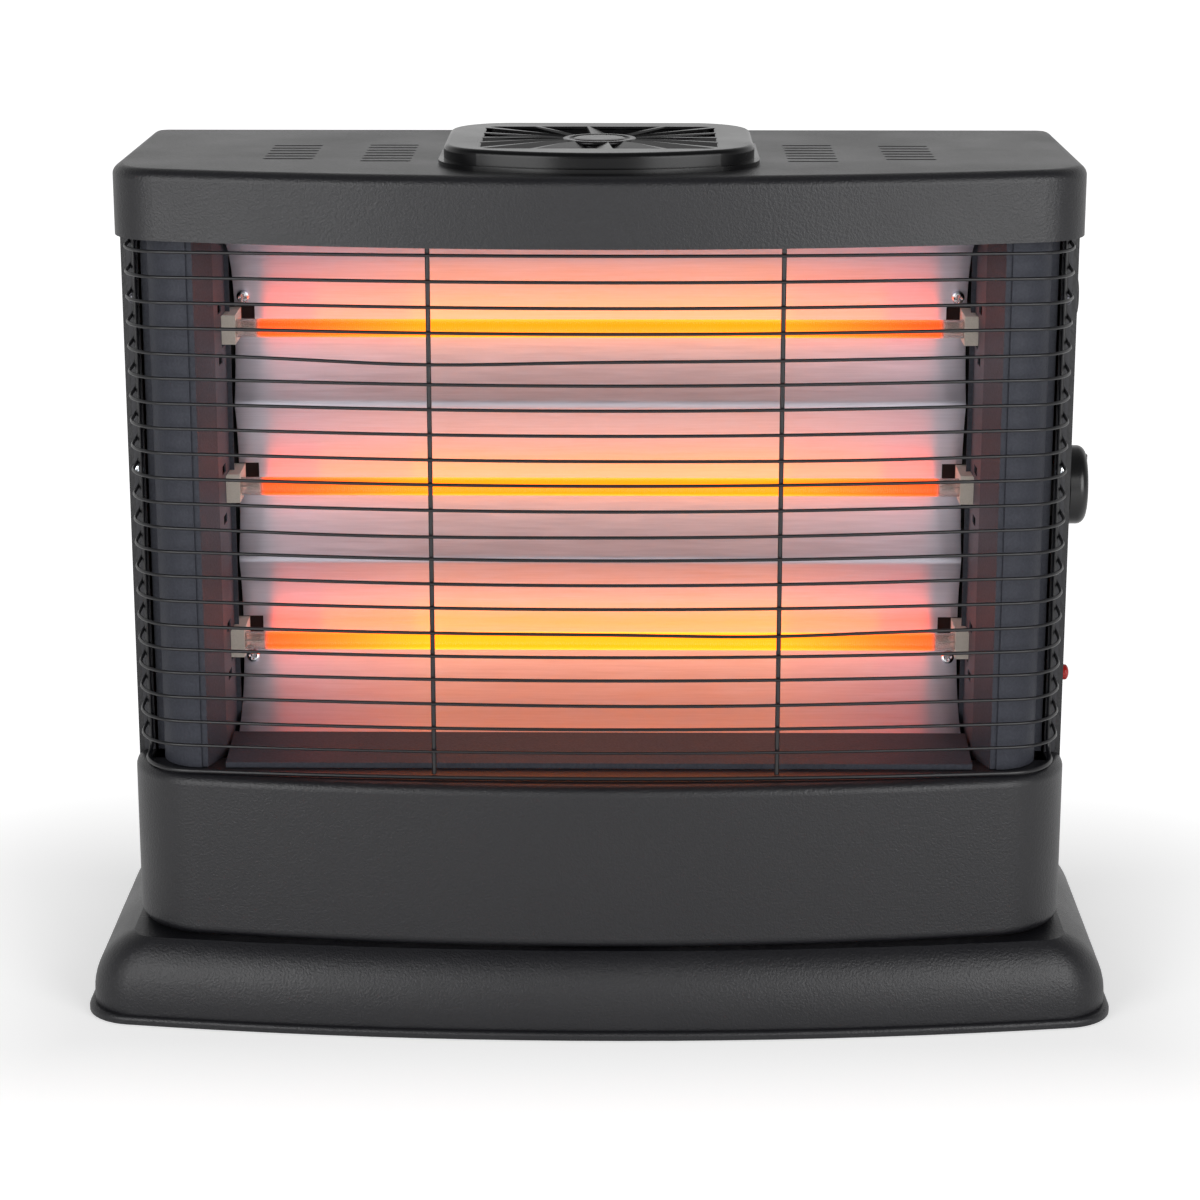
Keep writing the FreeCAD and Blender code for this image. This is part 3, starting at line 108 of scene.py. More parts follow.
def grained(name, dark, light, grain_mm, lift_mm, smooth, rough, **shader):
    """Make a finish with a fine grain between two colours and clouds between two roughnesses."""
    material, tree, place = new_finish(name)
    grain = add_node(tree, "ShaderNodeTexNoise", {
        "Vector": place, "Scale": per_metre(grain_mm), "Detail": 3, "Roughness": 0.65}).outputs["Fac"]
    cloud = add_node(tree, "ShaderNodeTexNoise", {
        "label": "clouds", "Vector": place, "Scale": per_metre(CLOUD_MM), "Detail": 4}).outputs["Fac"]
    colour = add_node(tree, "ShaderNodeMix", {
        "data_type": "RGBA", 0: grain, 6: linear(dark), 7: linear(light)}).outputs[2]
    gloss = add_node(tree, "ShaderNodeMapRange", {
        "Value": cloud, "From Min": 0.3, "From Max": 0.7, "To Min": smooth, "To Max": rough}).outputs[0]
    relief = add_node(tree, "ShaderNodeBump", {
        "Height": grain, "Strength": 0.8, "Distance": lift_mm * MM}).outputs[0]
    settings = {"Base Color": colour, "Roughness": gloss, "Normal": relief}
    for key, setting in shader.items():
        settings[key.replace("_", " ").title().replace("Ior", "IOR")] = setting
    add_node(tree, "Principled BSDF", settings)
    return material


# %% Coats and enamels
# Epoxy powder coat, baked on steel: a fine orange-peel texture that scatters the gloss
powder_coat = grained(
    "powder_coated_steel", "#060608", "#1e1e23", grain_mm=1.4, lift_mm=0.4, smooth=0.34, rough=0.42)
# Stoved enamel on rolled sheet beside the heat: duller than powder coat, slightly blue, and its dark grey
# lightened by a painted sheen
column_enamel = grained(
    "enamel_lightened_by_painted_sheen", "#282a31", "#494b54", grain_mm=1.4, lift_mm=0.2, smooth=0.5, rough=0.6,
    specular_ior_level=0.2)
# The same enamel on narrow strip: flatter, with a low sheen
strip_enamel = grained(
    "stoved_enamel_strips", "#1a1a1d", "#38383e", grain_mm=1.3, lift_mm=0.1, smooth=0.4, rough=0.5)
# Matt black heat-proof paint, sprayed thin on the tube carriers: hardly any gloss
heat_paint = grained(
    "heat_proof_paint", "#060607", "#101011", grain_mm=1.2, lift_mm=0.06, smooth=0.6, rough=0.75,
    specular_ior_level=0.2)
# Dip-coated drawn wire: nearly smooth, with a soft sheen along its length
wire_enamel = grained(
    "dipped_wire_enamel", "#0e0e10", "#1c1c20", grain_mm=2, lift_mm=0.03, smooth=0.3, rough=0.42)
print("coats and enamels made")

# %% Plastics, rubber, ceramic and blackened screws
# Polished moulded ABS: deep black with faint flow marks
knob_abs = grained("polished_abs", "#060607", "#0e0e10", grain_mm=8, lift_mm=0.02, smooth=0.2, rough=0.32)
# The same plastic moulded in a duller tool, for the vent: black with a softer highlight
vent_abs = grained(
    "satin_abs", "#040405", "#0c0c0e", grain_mm=3, lift_mm=0.03, smooth=0.22, rough=0.3,
    specular_ior_level=0.3)
# Polypropylene moulded in a spark-eroded tool: a dull, even grain
matt_plastic = grained(
    "grained_polypropylene", "#121213", "#1e1e20", grain_mm=0.9, lift_mm=0.08, smooth=0.5, rough=0.62)
# Moulded phenolic resin with filler: brown-black and slightly mottled
inner_plastic = grained(
    "moulded_phenolic", "#2a2622", "#3a352f", grain_mm=1.5, lift_mm=0.05, smooth=0.45, rough=0.6)
# Moulded nylon without pigment: milky cream
plunger_nylon = grained(
    "natural_nylon", "#cfc8b4", "#e2dcca", grain_mm=2, lift_mm=0.03, smooth=0.35, rough=0.5)
# Moulded rubber: nearly black, and dull at every angle
rubber = grained("moulded_rubber", "#101010", "#1c1c1c", grain_mm=1.2, lift_mm=0.08, smooth=0.7, rough=0.85)
# Pressed and fired ceramic, unglazed: chalky cream with fine pits
ceramic = grained("fired_ceramic", "#c2b6aa", "#e0d6cc", grain_mm=0.8, lift_mm=0.1, smooth=0.7, rough=0.85)
# Glass fibre woven into a sleeve: pale and fuzzy
glass_sleeve = grained(
    "woven_glass_sleeve", "#b5b0a2", "#d9d5c8", grain_mm=0.7, lift_mm=0.15, smooth=0.65, rough=0.8)
# Steel blackened in hot oil: a dark metal that still glints on its edges
black_screw = grained(
    "blackened_steel", "#3a3a3e", "#737379", grain_mm=0.7, lift_mm=0.03, smooth=0.26, rough=0.38,
    metallic=0.9)
# Red acrylic, moulded in a polished tool: a small, deep red gloss
red_lens = grained(
    "red_acrylic", "#a3120e", "#c41a14", grain_mm=6, lift_mm=0.02, smooth=0.08, rough=0.16, ior=1.49)
print("plastics, rubber, ceramic and screws made")

# %% [markdown]
# ## Metals
# Rolled metal shows long streaks from the rolls, so its noise is squeezed along the rolling direction.
# The reflector is bright aluminium, brushed along its length: the brush lines spread a reflection across
# them and keep it sharp along them, which an anisotropic gloss with its tangent round the X axis gives.

# %% Metal finishes
STREAK_STRETCH = (0.04, 1, 1)
NO_STRETCH = (1, 1, 1)
# The sheet's slow waves are this many times as high as its streaks
WAVE_LIFT = 10


def rolled(name, dark, light, streak_mm, lift_mm, smooth, rough, stretch=STREAK_STRETCH, brushed=0):
    """Make a metal with streaks along X; a brushed share spreads its reflections across them."""
    material, tree, place = new_finish(name)
    along = add_node(tree, "ShaderNodeMapping", {"Vector": place, "Scale": stretch}).outputs[0]
    streak = add_node(tree, "ShaderNodeTexNoise", {
        "Vector": along, "Scale": per_metre(streak_mm), "Detail": 5, "Roughness": 0.7}).outputs["Fac"]
    dents = add_node(tree, "ShaderNodeTexNoise", {
        "label": "dents", "Vector": place, "Scale": per_metre(CLOUD_MM), "Detail": 2}).outputs["Fac"]
    colour = add_node(tree, "ShaderNodeMix", {
        "data_type": "RGBA", 0: streak, 6: linear(dark), 7: linear(light)}).outputs[2]
    gloss = add_node(tree, "ShaderNodeMapRange", {
        "Value": streak, "From Min": 0.3, "From Max": 0.7, "To Min": smooth, "To Max": rough}).outputs[0]
    wavy = add_node(tree, "ShaderNodeBump", {
        "label": "waves", "Height": dents, "Strength": 0.5, "Distance": WAVE_LIFT * lift_mm * MM}).outputs[0]
    relief = add_node(tree, "ShaderNodeBump", {
        "Height": streak, "Strength": 0.5, "Distance": lift_mm * MM, "Normal": wavy}).outputs[0]
    across = add_node(tree, "ShaderNodeTangent", {"direction_type": "RADIAL", "axis": "X"}).outputs[0]
    add_node(tree, "Principled BSDF", {
        "Base Color": colour, "Roughness": gloss, "Normal": relief, "Metallic": 1,
        "Anisotropic": brushed, "Tangent": across})
    return material


# Bright aluminium sheet, brushed along its length: soft bands of light that run from side to side
reflector_sheet = rolled(
    "brushed_aluminium", "#c4c1cc", "#e6e3ee", streak_mm=1.5, lift_mm=0.02, smooth=0.36, rough=0.46,
    brushed=0.8)
# Zinc plated from a bright bath: a hard white glint, with no direction
zinc_plate = rolled(
    "bright_zinc_plate", "#b4b8be", "#e2e6ea", streak_mm=1, lift_mm=0.01, smooth=0.12, rough=0.25,
    stretch=NO_STRETCH)
# Steel turned on a lathe: fine marks that dull the gloss
turned_steel = rolled(
    "turned_steel", "#7d7f83", "#a6a8ac", streak_mm=0.8, lift_mm=0.02, smooth=0.25, rough=0.4)
print("metal finishes made")

# %% [markdown]
# ## Quartz and hot wire
# The tubes are drawn quartz with a satin inside, which turns the coil's light into an even glow. That light
# is mostly red and stronger than white: the eye sees gold on the tube itself, and its true red only where
# the reflector dims it. So the glow is given a warm colour, redder and weaker towards the cooler ends, and
# it stops where the winding does. The lowest tube burns brightest.

# %% Glow along a tube
HALF_GLOW = 195 * MM
GLOW_FADE = 3 * MM
# Share of the half length where a tube starts to cool, and its strength at the end
COOL_FROM = 0.5
COOL_END = 0.6
# The lowest tube lies below the first height and the others above the second
LOW_TUBE_Z = (0.22, 0.28)
LOW_TUBE_GAIN = 1.4


def heat(tree, place, strength):
    """Return the colour and strength of the glow at each place along a tube."""
    spot = add_node(tree, "ShaderNodeSeparateXYZ", {"Vector": place}).outputs
    out = add_node(tree, "ShaderNodeMath", {"operation": "ABSOLUTE", 0: spot["X"]}).outputs[0]
    cool = add_node(tree, "ShaderNodeMapRange", {
        "label": "cool", "interpolation_type": "SMOOTHSTEP", "Value": out, "From Min": COOL_FROM * HALF_GLOW,
        "From Max": HALF_GLOW, "To Min": strength, "To Max": COOL_END * strength}).outputs[0]
    wound = add_node(tree, "ShaderNodeMapRange", {
        "name": "wound", "Value": out, "From Min": HALF_GLOW - GLOW_FADE, "From Max": HALF_GLOW,
        "To Min": 1, "To Max": 0}).outputs[0]
    drift = add_node(tree, "ShaderNodeTexNoise", {
        "label": "drift", "Vector": place, "Scale": per_metre(90), "Detail": 2}).outputs["Fac"]
    redder = add_node(tree, "ShaderNodeMapRange", {
        "label": "redder", "Value": out, "From Min": COOL_FROM * HALF_GLOW, "From Max": HALF_GLOW}).outputs[0]
    gold = add_node(tree, "ShaderNodeMix", {
        "label": "gold", "data_type": "RGBA",
        0: drift, 6: linear("#ff9410"), 7: linear("#ff8612")}).outputs[2]
    colour = add_node(tree, "ShaderNodeMix", {
        "label": "heat colour", "data_type": "RGBA", 0: redder, 6: gold, 7: linear("#ff5c2c")}).outputs[2]
    hottest = add_node(tree, "ShaderNodeMapRange", {
        "label": "hottest", "Value": spot["Z"], "From Min": LOW_TUBE_Z[0], "From Max": LOW_TUBE_Z[1],
        "To Min": LOW_TUBE_GAIN, "To Max": 1}).outputs[0]
    even = add_node(tree, "ShaderNodeMath", {
        "label": "even", "operation": "MULTIPLY", 0: cool, 1: hottest}).outputs[0]
    return colour, add_node(tree, "ShaderNodeMath", {
        "label": "heat strength", "operation": "MULTIPLY", 0: even, 1: wound}).outputs[0]


# %% Quartz and coil
# Quartz drawn into tube: clear with fine lines along it, and a painted amber glow where the hot wire shows
# through
quartz, tree, place = new_finish("drawn_quartz")
lines = add_node(tree, "ShaderNodeTexNoise", {
    "Vector": add_node(tree, "ShaderNodeMapping", {"Vector": place, "Scale": STREAK_STRETCH}).outputs[0],
    "Scale": per_metre(2.5), "Detail": 3}).outputs["Fac"]
satin = add_node(tree, "ShaderNodeMapRange", {"Value": lines, "To Min": 0.12, "To Max": 0.3}).outputs[0]
haze = add_node(tree, "ShaderNodeMix", {
    "data_type": "RGBA", 0: lines, 6: linear("#f6ece6"), 7: linear("#fffaf6")}).outputs[2]
glow, level = heat(tree, place, 1)
# A painted amber glow on the quartz along the wound length of the coil
painted_wire_glow = add_node(tree, "ShaderNodeMix", {
    "label": "painted_wire_glow", "data_type": "RGBA",
    0: tree.nodes["wound"].outputs[0], 6: haze, 7: linear("#d88a3a")}).outputs[2]
add_node(tree, "Principled BSDF", {
    "Base Color": painted_wire_glow, "Roughness": satin, "IOR": 1.46, "Transmission Weight": 0.9,
    "Specular IOR Level": 0.2, "Emission Color": glow, "Emission Strength": level})

# Coiled resistance wire, oxidised by heat: brown and dull where it doesn't glow
hot_coil, tree, place = new_finish("glowing_resistance_wire")
glow, level = heat(tree, place, 0.7)
scale = add_node(tree, "ShaderNodeTexNoise", {
    "label": "scale", "Vector": place, "Scale": per_metre(1), "Detail": 3}).outputs["Fac"]
oxide = add_node(tree, "ShaderNodeMix", {
    "data_type": "RGBA", 0: scale, 6: linear("#4a4644"), 7: linear("#77726f")}).outputs[2]
add_node(tree, "Principled BSDF", {
    "Base Color": oxide, "Roughness": 0.5, "Metallic": 0.8, "Emission Color": glow,
    "Emission Strength": level})
print("glowing finishes made")

# %% [markdown]
# ## Dress the frame
# The record names a material slot for every piece of the frame. A dictionary from slot to finish dresses
# them all in one loop, so a new piece in the same slot gets the same finish.

# %% Give each solid its finish
FINISHES = {
    "powder_coat": powder_coat, "strip_enamel": strip_enamel, "column_enamel": column_enamel,
    "bright_aluminium": reflector_sheet, "bracket_coat": heat_paint, "quartz_glass": quartz,
    "hot_coil": hot_coil, "ceramic": ceramic, "guard_wire": wire_enamel, "vent_plastic": vent_abs,
    "knob_plastic": knob_abs, "handle_plastic": matt_plastic, "inner_plastic": inner_plastic,
    "plunger_plastic": plunger_nylon, "red_lens": red_lens, "turned_steel": turned_steel,
    "black_screw": black_screw, "zinc_screw": zinc_plate, "rubber": rubber, "lead_sleeve": glass_sleeve,
}
for entry in frame["record"]["subparts"]:
    for place_on in frame["nodes"][entry["node"]].material_slots:
        place_on.material = FINISHES[entry["material_slot"]]
# The sill under the tubes wears the columns' duller enamel instead of its powder coat: its lighter grey is a
# painted sheen
frame["nodes"]["sill"].material_slots[0].material = column_enamel
print("slots dressed:", len(FINISHES))

# %% [markdown]
# ## New pieces and wires
# Each new piece wears a finish and rides on a body of the heater, and it may stand for a solid that it
# refines: one function says all of that. The guard, the coils and the lip of the vent are round rods along
# a line. A curve with a round bevel gives an even rod from few points, where a mesh would need many.

# %% Pieces and round rods
def keep_piece(piece, body, slot, *nodes):
    """Finish a new piece, let it ride on a body and name the solids that it stands for."""
    piece.data.materials.clear()
    piece.data.materials.append(FINISHES[slot])
    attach(piece, body)
    if nodes:
        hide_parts(*nodes)


def add_rod(name, thick_mm, lines_mm, bevel_steps, closed=False):
    """Make a round rod along each of several lines of points, all in millimetres."""
    curve = bpy.data.curves.new(name, "CURVE")
    curve.dimensions = "3D"
    curve.bevel_depth = thick_mm / 2 * MM
    curve.bevel_resolution = bevel_steps
    curve.use_fill_caps = not closed
    for points in lines_mm:
        rod = curve.splines.new("POLY")
        rod.points.add(len(points) - 1)
        for spot, (x, y, z) in zip(rod.points, points):
            spot.co = (x * MM, y * MM, z * MM, 1)
        rod.use_cyclic_u = closed
        rod.use_smooth = True
    piece = bpy.data.objects.new(name, curve)
    bpy.context.collection.objects.link(piece)
    return piece


# %% [markdown]
# ## Guard rows
# Each row is one drawn wire, bent round the front, back along both sides and hooked up and inward round
# the end rod. Thin wires over this span are never quite straight, so each sags by its own amount.
# The sizes of the solid rows give the places, and a formula gives the points of half a row.

# %% Shape of a row
ROW_WIRE = 1.9
ROW_BOW = 2100
ROW_CORNER = 30
HOOK_ROUND = 3.5
HOOK_TAIL = 3
HOOK_LEAN = 0.5
ROW_PITCH = 13.935
BOW_STEPS = 24
BEND_STEPS = 8
row_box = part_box("guard_rows")
ROW_SIDE = row_box[1][0] / MM - ROW_WIRE / 2
ROW_FRONT = row_box[0][1] / MM + ROW_WIRE / 2
ROW_END = row_box[1][1] / MM - ROW_WIRE / 2
ROW_LOW = row_box[0][2] / MM + ROW_WIRE / 2


def row_points(row):
    """Return the points of half a guard row in millimetres, from its middle to the hook on one side."""
    z = ROW_LOW + row * ROW_PITCH
    bow_y = ROW_FRONT + ROW_BOW
    corner_x = ROW_SIDE - ROW_CORNER
    corner_y = bow_y - math.sqrt((ROW_BOW - ROW_CORNER) ** 2 - corner_x ** 2)
    meet = math.atan2(corner_x, bow_y - corner_y)
    points = []
    for k in range(BOW_STEPS + 1):
        turn = meet * k / BOW_STEPS
        points.append((ROW_BOW * math.sin(turn), bow_y - ROW_BOW * math.cos(turn), z))
    for k in range(1, BEND_STEPS + 1):
        turn = meet + (math.pi / 2 - meet) * k / BEND_STEPS
        points.append((corner_x + ROW_CORNER * math.sin(turn), corner_y - ROW_CORNER * math.cos(turn), z))
    up = math.sqrt(1 - HOOK_LEAN ** 2)
    for k in range(BEND_STEPS + 1):
        turn = math.pi / 2 * k / BEND_STEPS
        lift = HOOK_ROUND * (1 - math.cos(turn))
        back = ROW_END - HOOK_ROUND * (1 - math.sin(turn))
        points.append((ROW_SIDE - lift * HOOK_LEAN, back, z + lift * up))
    lift = HOOK_ROUND + HOOK_TAIL
    points.append((ROW_SIDE - lift * HOOK_LEAN, ROW_END, z + lift * up))
    return points


print("points in half a row:", len(row_points(0)))

# %% Wire guard rows
# How far the flat front of each row stands above its hooks, and how far its middle hangs, lowest row first
RISES = (0, 0.1, 0.3, 0.8, 0.4, 0, 0.6, 1.5, 1.5, 1.5, 1.1, 1, 1.5, 1.5, 1.5, 1.5, 0.9, 1.5, 1.5, 1.3, 0.8)
SAGS = (0, 0.4, 0, 0.6, 0.7, 1, 1.2, 2.4, 2.2, 3.1, 2.1, 1.5, 2.1, 2, 2, 2.1, 2.1, 1.6, 1.5, 1.2, 0.3)
# Rows that were knocked out of line: row, place along X, how wide and how deep the dip is
DIPS = ((16, -95, 70, 2.4), (5, 90, 60, 1.6), (2, 40, 120, 1), (9, -140, 90, 0.8), (12, 150, 80, 0.7))
# A sag is a parabola; a raised front is flat nearly to the corners, which a higher power gives
SAG_POWER = 2
RISE_POWER = 8


def hang(x, row):
    """Return how far a row hangs below its ends at a place along X."""
    out = min(1, abs(x) / ROW_SIDE)
    low = SAGS[row] * (1 - out ** SAG_POWER) - RISES[row] * (1 - out ** RISE_POWER)
    for dipped, middle, wide, deep in DIPS:
        if dipped == row:
            low += deep * math.exp(-((x - middle) / wide) ** 2)
    return low


rows = []
for row in range(len(SAGS)):
    half = row_points(row)
    whole = [(-x, y, z) for x, y, z in reversed(half[1:])] + half
    rows.append([(x, y, z - hang(x, row)) for x, y, z in whole])
keep_piece(add_rod("guard_row_wires", ROW_WIRE, rows, bevel_steps=3), "heater", "guard_wire", "guard_rows")
print("guard rows:", len(rows))

# %% [markdown]
# ## Heating coils
# A quartz element holds a close-wound coil of resistance wire with straight tails. The solid model has a
# sleeve there; a helix of real wire gives the fine vertical lines that show through the tube.

# %% Wound coils
COIL_RADIUS = 3.6
COIL_WIRE = 0.8
COIL_PITCH = 1.2
COIL_HALF = 195
TAIL_START = COIL_HALF + 2
TAIL_END = 219
TURN_POINTS = 10
TUBE_Y = -14
TUBE_HEIGHTS = {"bottom": 203, "middle": 295, "top": 387}
turns = int(2 * COIL_HALF / COIL_PITCH)
steps = turns * TURN_POINTS
for name, z in TUBE_HEIGHTS.items():
    path = [(-TAIL_END, TUBE_Y, z), (-TAIL_START, TUBE_Y, z)]
    for k in range(steps + 1):
        turn = 2 * math.pi * k / TURN_POINTS
        path.append((
            -COIL_HALF + COIL_WIRE / 2 + (2 * COIL_HALF - COIL_WIRE) * k / steps,
            TUBE_Y + COIL_RADIUS * math.cos(turn), z + COIL_RADIUS * math.sin(turn)))
    path += [(TAIL_START, TUBE_Y, z), (TAIL_END, TUBE_Y, z)]
    coil = add_rod(f"coil_winding_{name}", COIL_WIRE, [path], bevel_steps=1)
    keep_piece(coil, "heater", "hot_coil", f"heating_coil_{name}")
print("turns in a coil:", turns)

# %% [markdown]
# ## Turned pieces
# Screw heads and the vent's hub cap are round, so each is a profile turned round an axis. A pan head also
# has a cross recess that tapers inward: a polar grid of points makes both at once, where each point's height
# is the dome's, less the depth of the cross where it lies in one of its arms.

# %% Turned shapes
SPOKES = 64


def turned(shape, profile, place, facing, sunk):
    """Turn a profile of radii and heights round an axis, sunk by a depth at each point."""
    turn = Vector(facing).to_track_quat("Z", "Y")
    rings = []
    for radius, height in profile:
        ring = []
        for s in range(SPOKES):
            angle = 2 * math.pi * s / SPOKES
            x, y = radius * math.cos(angle), radius * math.sin(angle)
            ring.append(shape.verts.new((turn @ Vector((x, y, height - sunk(x, y))) + Vector(place)) * MM))
        rings.append(ring)
    for low, high in zip(rings, rings[1:]):
        for s in range(SPOKES):
            after = (s + 1) % SPOKES
            shape.faces.new((low[s], low[after], high[after], high[s]))
    shape.faces.new(rings[-1])
    shape.faces.new(list(reversed(rings[0])))


def new_piece(name, shape, slot, *nodes):
    """Turn a shape into a smooth piece of the heater."""
    mesh = bpy.data.meshes.new(name)
    shape.to_mesh(mesh)
    shape.free()
    mesh.shade_smooth()
    piece = bpy.data.objects.new(name, mesh)
    bpy.context.collection.objects.link(piece)
    keep_piece(piece, "heater", slot, *nodes)


# %% Cross-head screws
DOME_RINGS = 22
# Shares of a head's radius that an arm of the cross takes up, and how steeply its walls and ends fall
ARM_HALF_WIDTH = 0.17
ARM_REACH = 0.62
WALL_FALL = 2.5
END_FALL = 3
# Share of a head's height that the cross is sunk
RECESS = 0.42


def cross_depth(x, y, reach):
    """Return the share of the recess's depth at a place on a head."""
    def arm(along, across):
        inside = 1 - abs(across) / (ARM_HALF_WIDTH * reach)
        length = 1 - abs(along) / (ARM_REACH * reach)
        return min(1, max(0, inside * WALL_FALL)) * min(1, max(0, length * END_FALL))
    return max(arm(x, y), arm(y, x))


def screw_heads(name, spots, reach, rise, washer, slot, node):
    """Make cross-head screws; each spot is the centre of a seat and the direction that the head faces."""
    def sunk(x, y):
        return RECESS * rise * cross_depth(x, y, reach)
    profile = []
    if washer:
        profile = [(washer, 0), (washer, 0.5), (washer - 0.25, 0.7), (reach + 0.1, 0.7)]
    profile += [(reach, 0.35 if washer else 0), (reach, 0.35 * rise), (0.97 * reach, 0.5 * rise)]
    for k in range(DOME_RINGS):
        share = 0.95 * (1 - k / DOME_RINGS)
        profile.append((share * reach, rise * (0.5 + 0.5 * math.sqrt(1 - share ** 2))))
    shape = bmesh.new()
    for place, facing in spots:
        turned(shape, profile, place, facing, sunk)
    new_piece(name, shape, slot, node)


# %% Screws of the reflector
PAN_REACH = 3.8
PAN_RISE = 2.4
# The trough behind a tube is round; its screws sit above or below the tube and lean with its wall
TROUGH_Y = -46.4
TROUGH_ROUND = 54.4
SCREW_ABOVE = 15
SEAT_SINK = 0.3
REFLECTOR_SCREW_X = 204.2
LEAN = math.asin(SCREW_ABOVE / TROUGH_ROUND)
seat_y = TROUGH_Y + TROUGH_ROUND * math.cos(LEAN) - SEAT_SINK * math.cos(LEAN)
spots = []
for x in (-REFLECTOR_SCREW_X, REFLECTOR_SCREW_X):
    for tube, up in (("bottom", -1), ("top", 1)):
        z = TUBE_HEIGHTS[tube] + up * SCREW_ABOVE - up * SEAT_SINK * math.sin(LEAN)
        spots.append(((x, seat_y, z), (0, -math.cos(LEAN), -up * math.sin(LEAN))))
screw_heads("reflector_screw_heads", spots, PAN_REACH, PAN_RISE, 0, "zinc_screw", "reflector_screws")
print("reflector screws:", len(spots))

# %% Screws of the casing
FRONT = (0, -1, 0)
BACK = (0, 1, 0)
STRIP_X = 259.1
STRIP_Y = -45.2
# Each kind on the strips: height of its place, radius and height of its head, radius of its washer
STRIP_KINDS = (
    ("flange_screw_heads", 409.3, 2.3, 1.9, 3.2, "black_screw", "flange_screws"),
    ("strip_screw_heads", 311.7, 3, 2, 0, "zinc_screw", "strip_screws"))
for name, z, reach, rise, washer, slot, node in STRIP_KINDS:
    spots = [((x, STRIP_Y, z), FRONT) for x in (-STRIP_X, STRIP_X)]
    screw_heads(name, spots, reach, rise, washer, slot, node)
BACK_X = 253.5
BACK_Y = 98
BACK_SHARES = (1 / 6, 1 / 2, 5 / 6)
back_low, back_high = (edge[2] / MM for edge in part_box("back_panel"))
spots = [
    ((x, BACK_Y, back_low + (back_high - back_low) * share), BACK)
    for x in (-BACK_X, BACK_X) for share in BACK_SHARES]
screw_heads("back_screw_heads", spots, PAN_REACH, PAN_RISE, 0, "black_screw", "back_screws")
print("back screws:", len(spots))

# %% [markdown]
# ## Vent mouldings
# The vent's window has a rounded lip, which is a rod along the edge of the moulding. Its hub wears a flat
# cap with a ring-shaped groove: a turned profile, like the screws, gives it soft edges.

# %% Vent lip and hub cap
VENT_Y = -28
VENT_TOP = 496.7
WINDOW = (65, 51, 8)
CORNER_POINTS = 12
LIP_ROUND = 0.9
LIP_Z = VENT_TOP - 1.1 * LIP_ROUND
# Radius and height of each corner of the cap's profile, from its foot to its middle
CAP_PROFILE = (
    (20.6, -2.6), (20.6, -0.9), (20.2, -0.4), (19.6, -0.2), (17.4, -0.2), (16.9, -0.4), (16.7, -1),
    (14.3, -1), (14.1, -0.4), (13.6, -0.2), (6, -0.15), (0.5, -0.15))


def round_corners(half_x, half_y, corner):
    """Return the points of a rounded rectangle round the middle."""
    points = []
    for k in range(4 * CORNER_POINTS):
        quarter, step = divmod(k, CORNER_POINTS)
        turn = math.pi / 2 * (quarter + step / (CORNER_POINTS - 1))
        sign_x = 1 if quarter in (0, 3) else -1
        sign_y = 1 if quarter in (0, 1) else -1
        points.append((sign_x * (half_x - corner) + corner * math.cos(turn),
                       sign_y * (half_y - corner) + corner * math.sin(turn)))
    return points


lip_points = [(x, VENT_Y + y, LIP_Z) for x, y in round_corners(*WINDOW)]
lip = add_rod("vent_lip", 2 * LIP_ROUND, [lip_points], bevel_steps=3, closed=True)
keep_piece(lip, "heater", "vent_plastic")
cap = bmesh.new()
turned(cap, CAP_PROFILE, (0, VENT_Y, VENT_TOP), (0, 0, 1), lambda x, y: 0)
new_piece("vent_hub_cap", cap, "vent_plastic")
print("vent lip points:", len(lip_points))

# %% [markdown]
# ## Floor
# A product like this is shot on a white sweep, which is lit to pure white away from the product. The floor
# adds that white for the camera and, more weakly, for mirrors. It grows with distance from the base, so the
# shadow near the heater stays, and the floor close round the base is darker: a painted shade.

# %% White sweep
FLOOR_HALF = 30
SWEEP_REACH = 0.3
# Less white is added near the base: a painted shade round the heater
NEAR_WHITE = 0.52
MIRROR_SHARE = 0.65
floor_mesh = bpy.data.meshes.new("studio_floor")
corners = [(FLOOR_HALF * x, FLOOR_HALF * y, 0) for x, y in ((-1, -1), (1, -1), (1, 1), (-1, 1))]
floor_mesh.from_pydata(corners, [], [(0, 1, 2, 3)])
floor = bpy.data.objects.new("studio_floor", floor_mesh)
bpy.context.collection.objects.link(floor)
floor_paint, tree, place = new_finish("matt_white_sweep")
ray = add_node(tree, "ShaderNodeLightPath", {})
half_base = [*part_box("base_tray")[1][:2], FLOOR_HALF]
beside = place
for label, operation, other in (
        ("both sides", "ABSOLUTE", half_base), ("past the edge", "SUBTRACT", half_base),
        ("outside", "MAXIMUM", (0, 0, 0))):
    beside = add_node(tree, "ShaderNodeVectorMath", {
        "label": label, "operation": operation, 0: beside, 1: other}).outputs[0]
away = add_node(tree, "ShaderNodeVectorMath", {"operation": "LENGTH", 0: beside}).outputs["Value"]
# The white rises from NEAR_WHITE at the base to full white, leaving a painted shade near the heater
bright = add_node(tree, "ShaderNodeMapRange", {
    "label": "bright", "Value": away, "From Max": SWEEP_REACH, "To Min": NEAR_WHITE, "To Max": 1}).outputs[0]
direct = add_node(tree, "ShaderNodeMath", {
    "label": "direct", "operation": "MULTIPLY_ADD", 0: ray.outputs["Is Glossy Ray"], 1: MIRROR_SHARE,
    2: ray.outputs["Is Camera Ray"]}).outputs[0]
seen = add_node(tree, "ShaderNodeMath", {
    "label": "seen", "operation": "MULTIPLY", 0: bright, 1: direct}).outputs[0]
add_node(tree, "Principled BSDF", {
    "Base Color": linear("#dedede"), "Roughness": 0.9, "Emission Color": linear("#ffffff"),
    "Emission Strength": seen})
floor_mesh.materials.append(floor_paint)
print("floor half width in metres:", FLOOR_HALF)

# %% [markdown]
# ## Room
# The room is dim overhead and behind the camera. So the world is bright behind and beside the heater and
# dimmer above and in front, and it gives mirrors more than it gives dull surfaces, which the lamps light.
# The camera itself sees white.

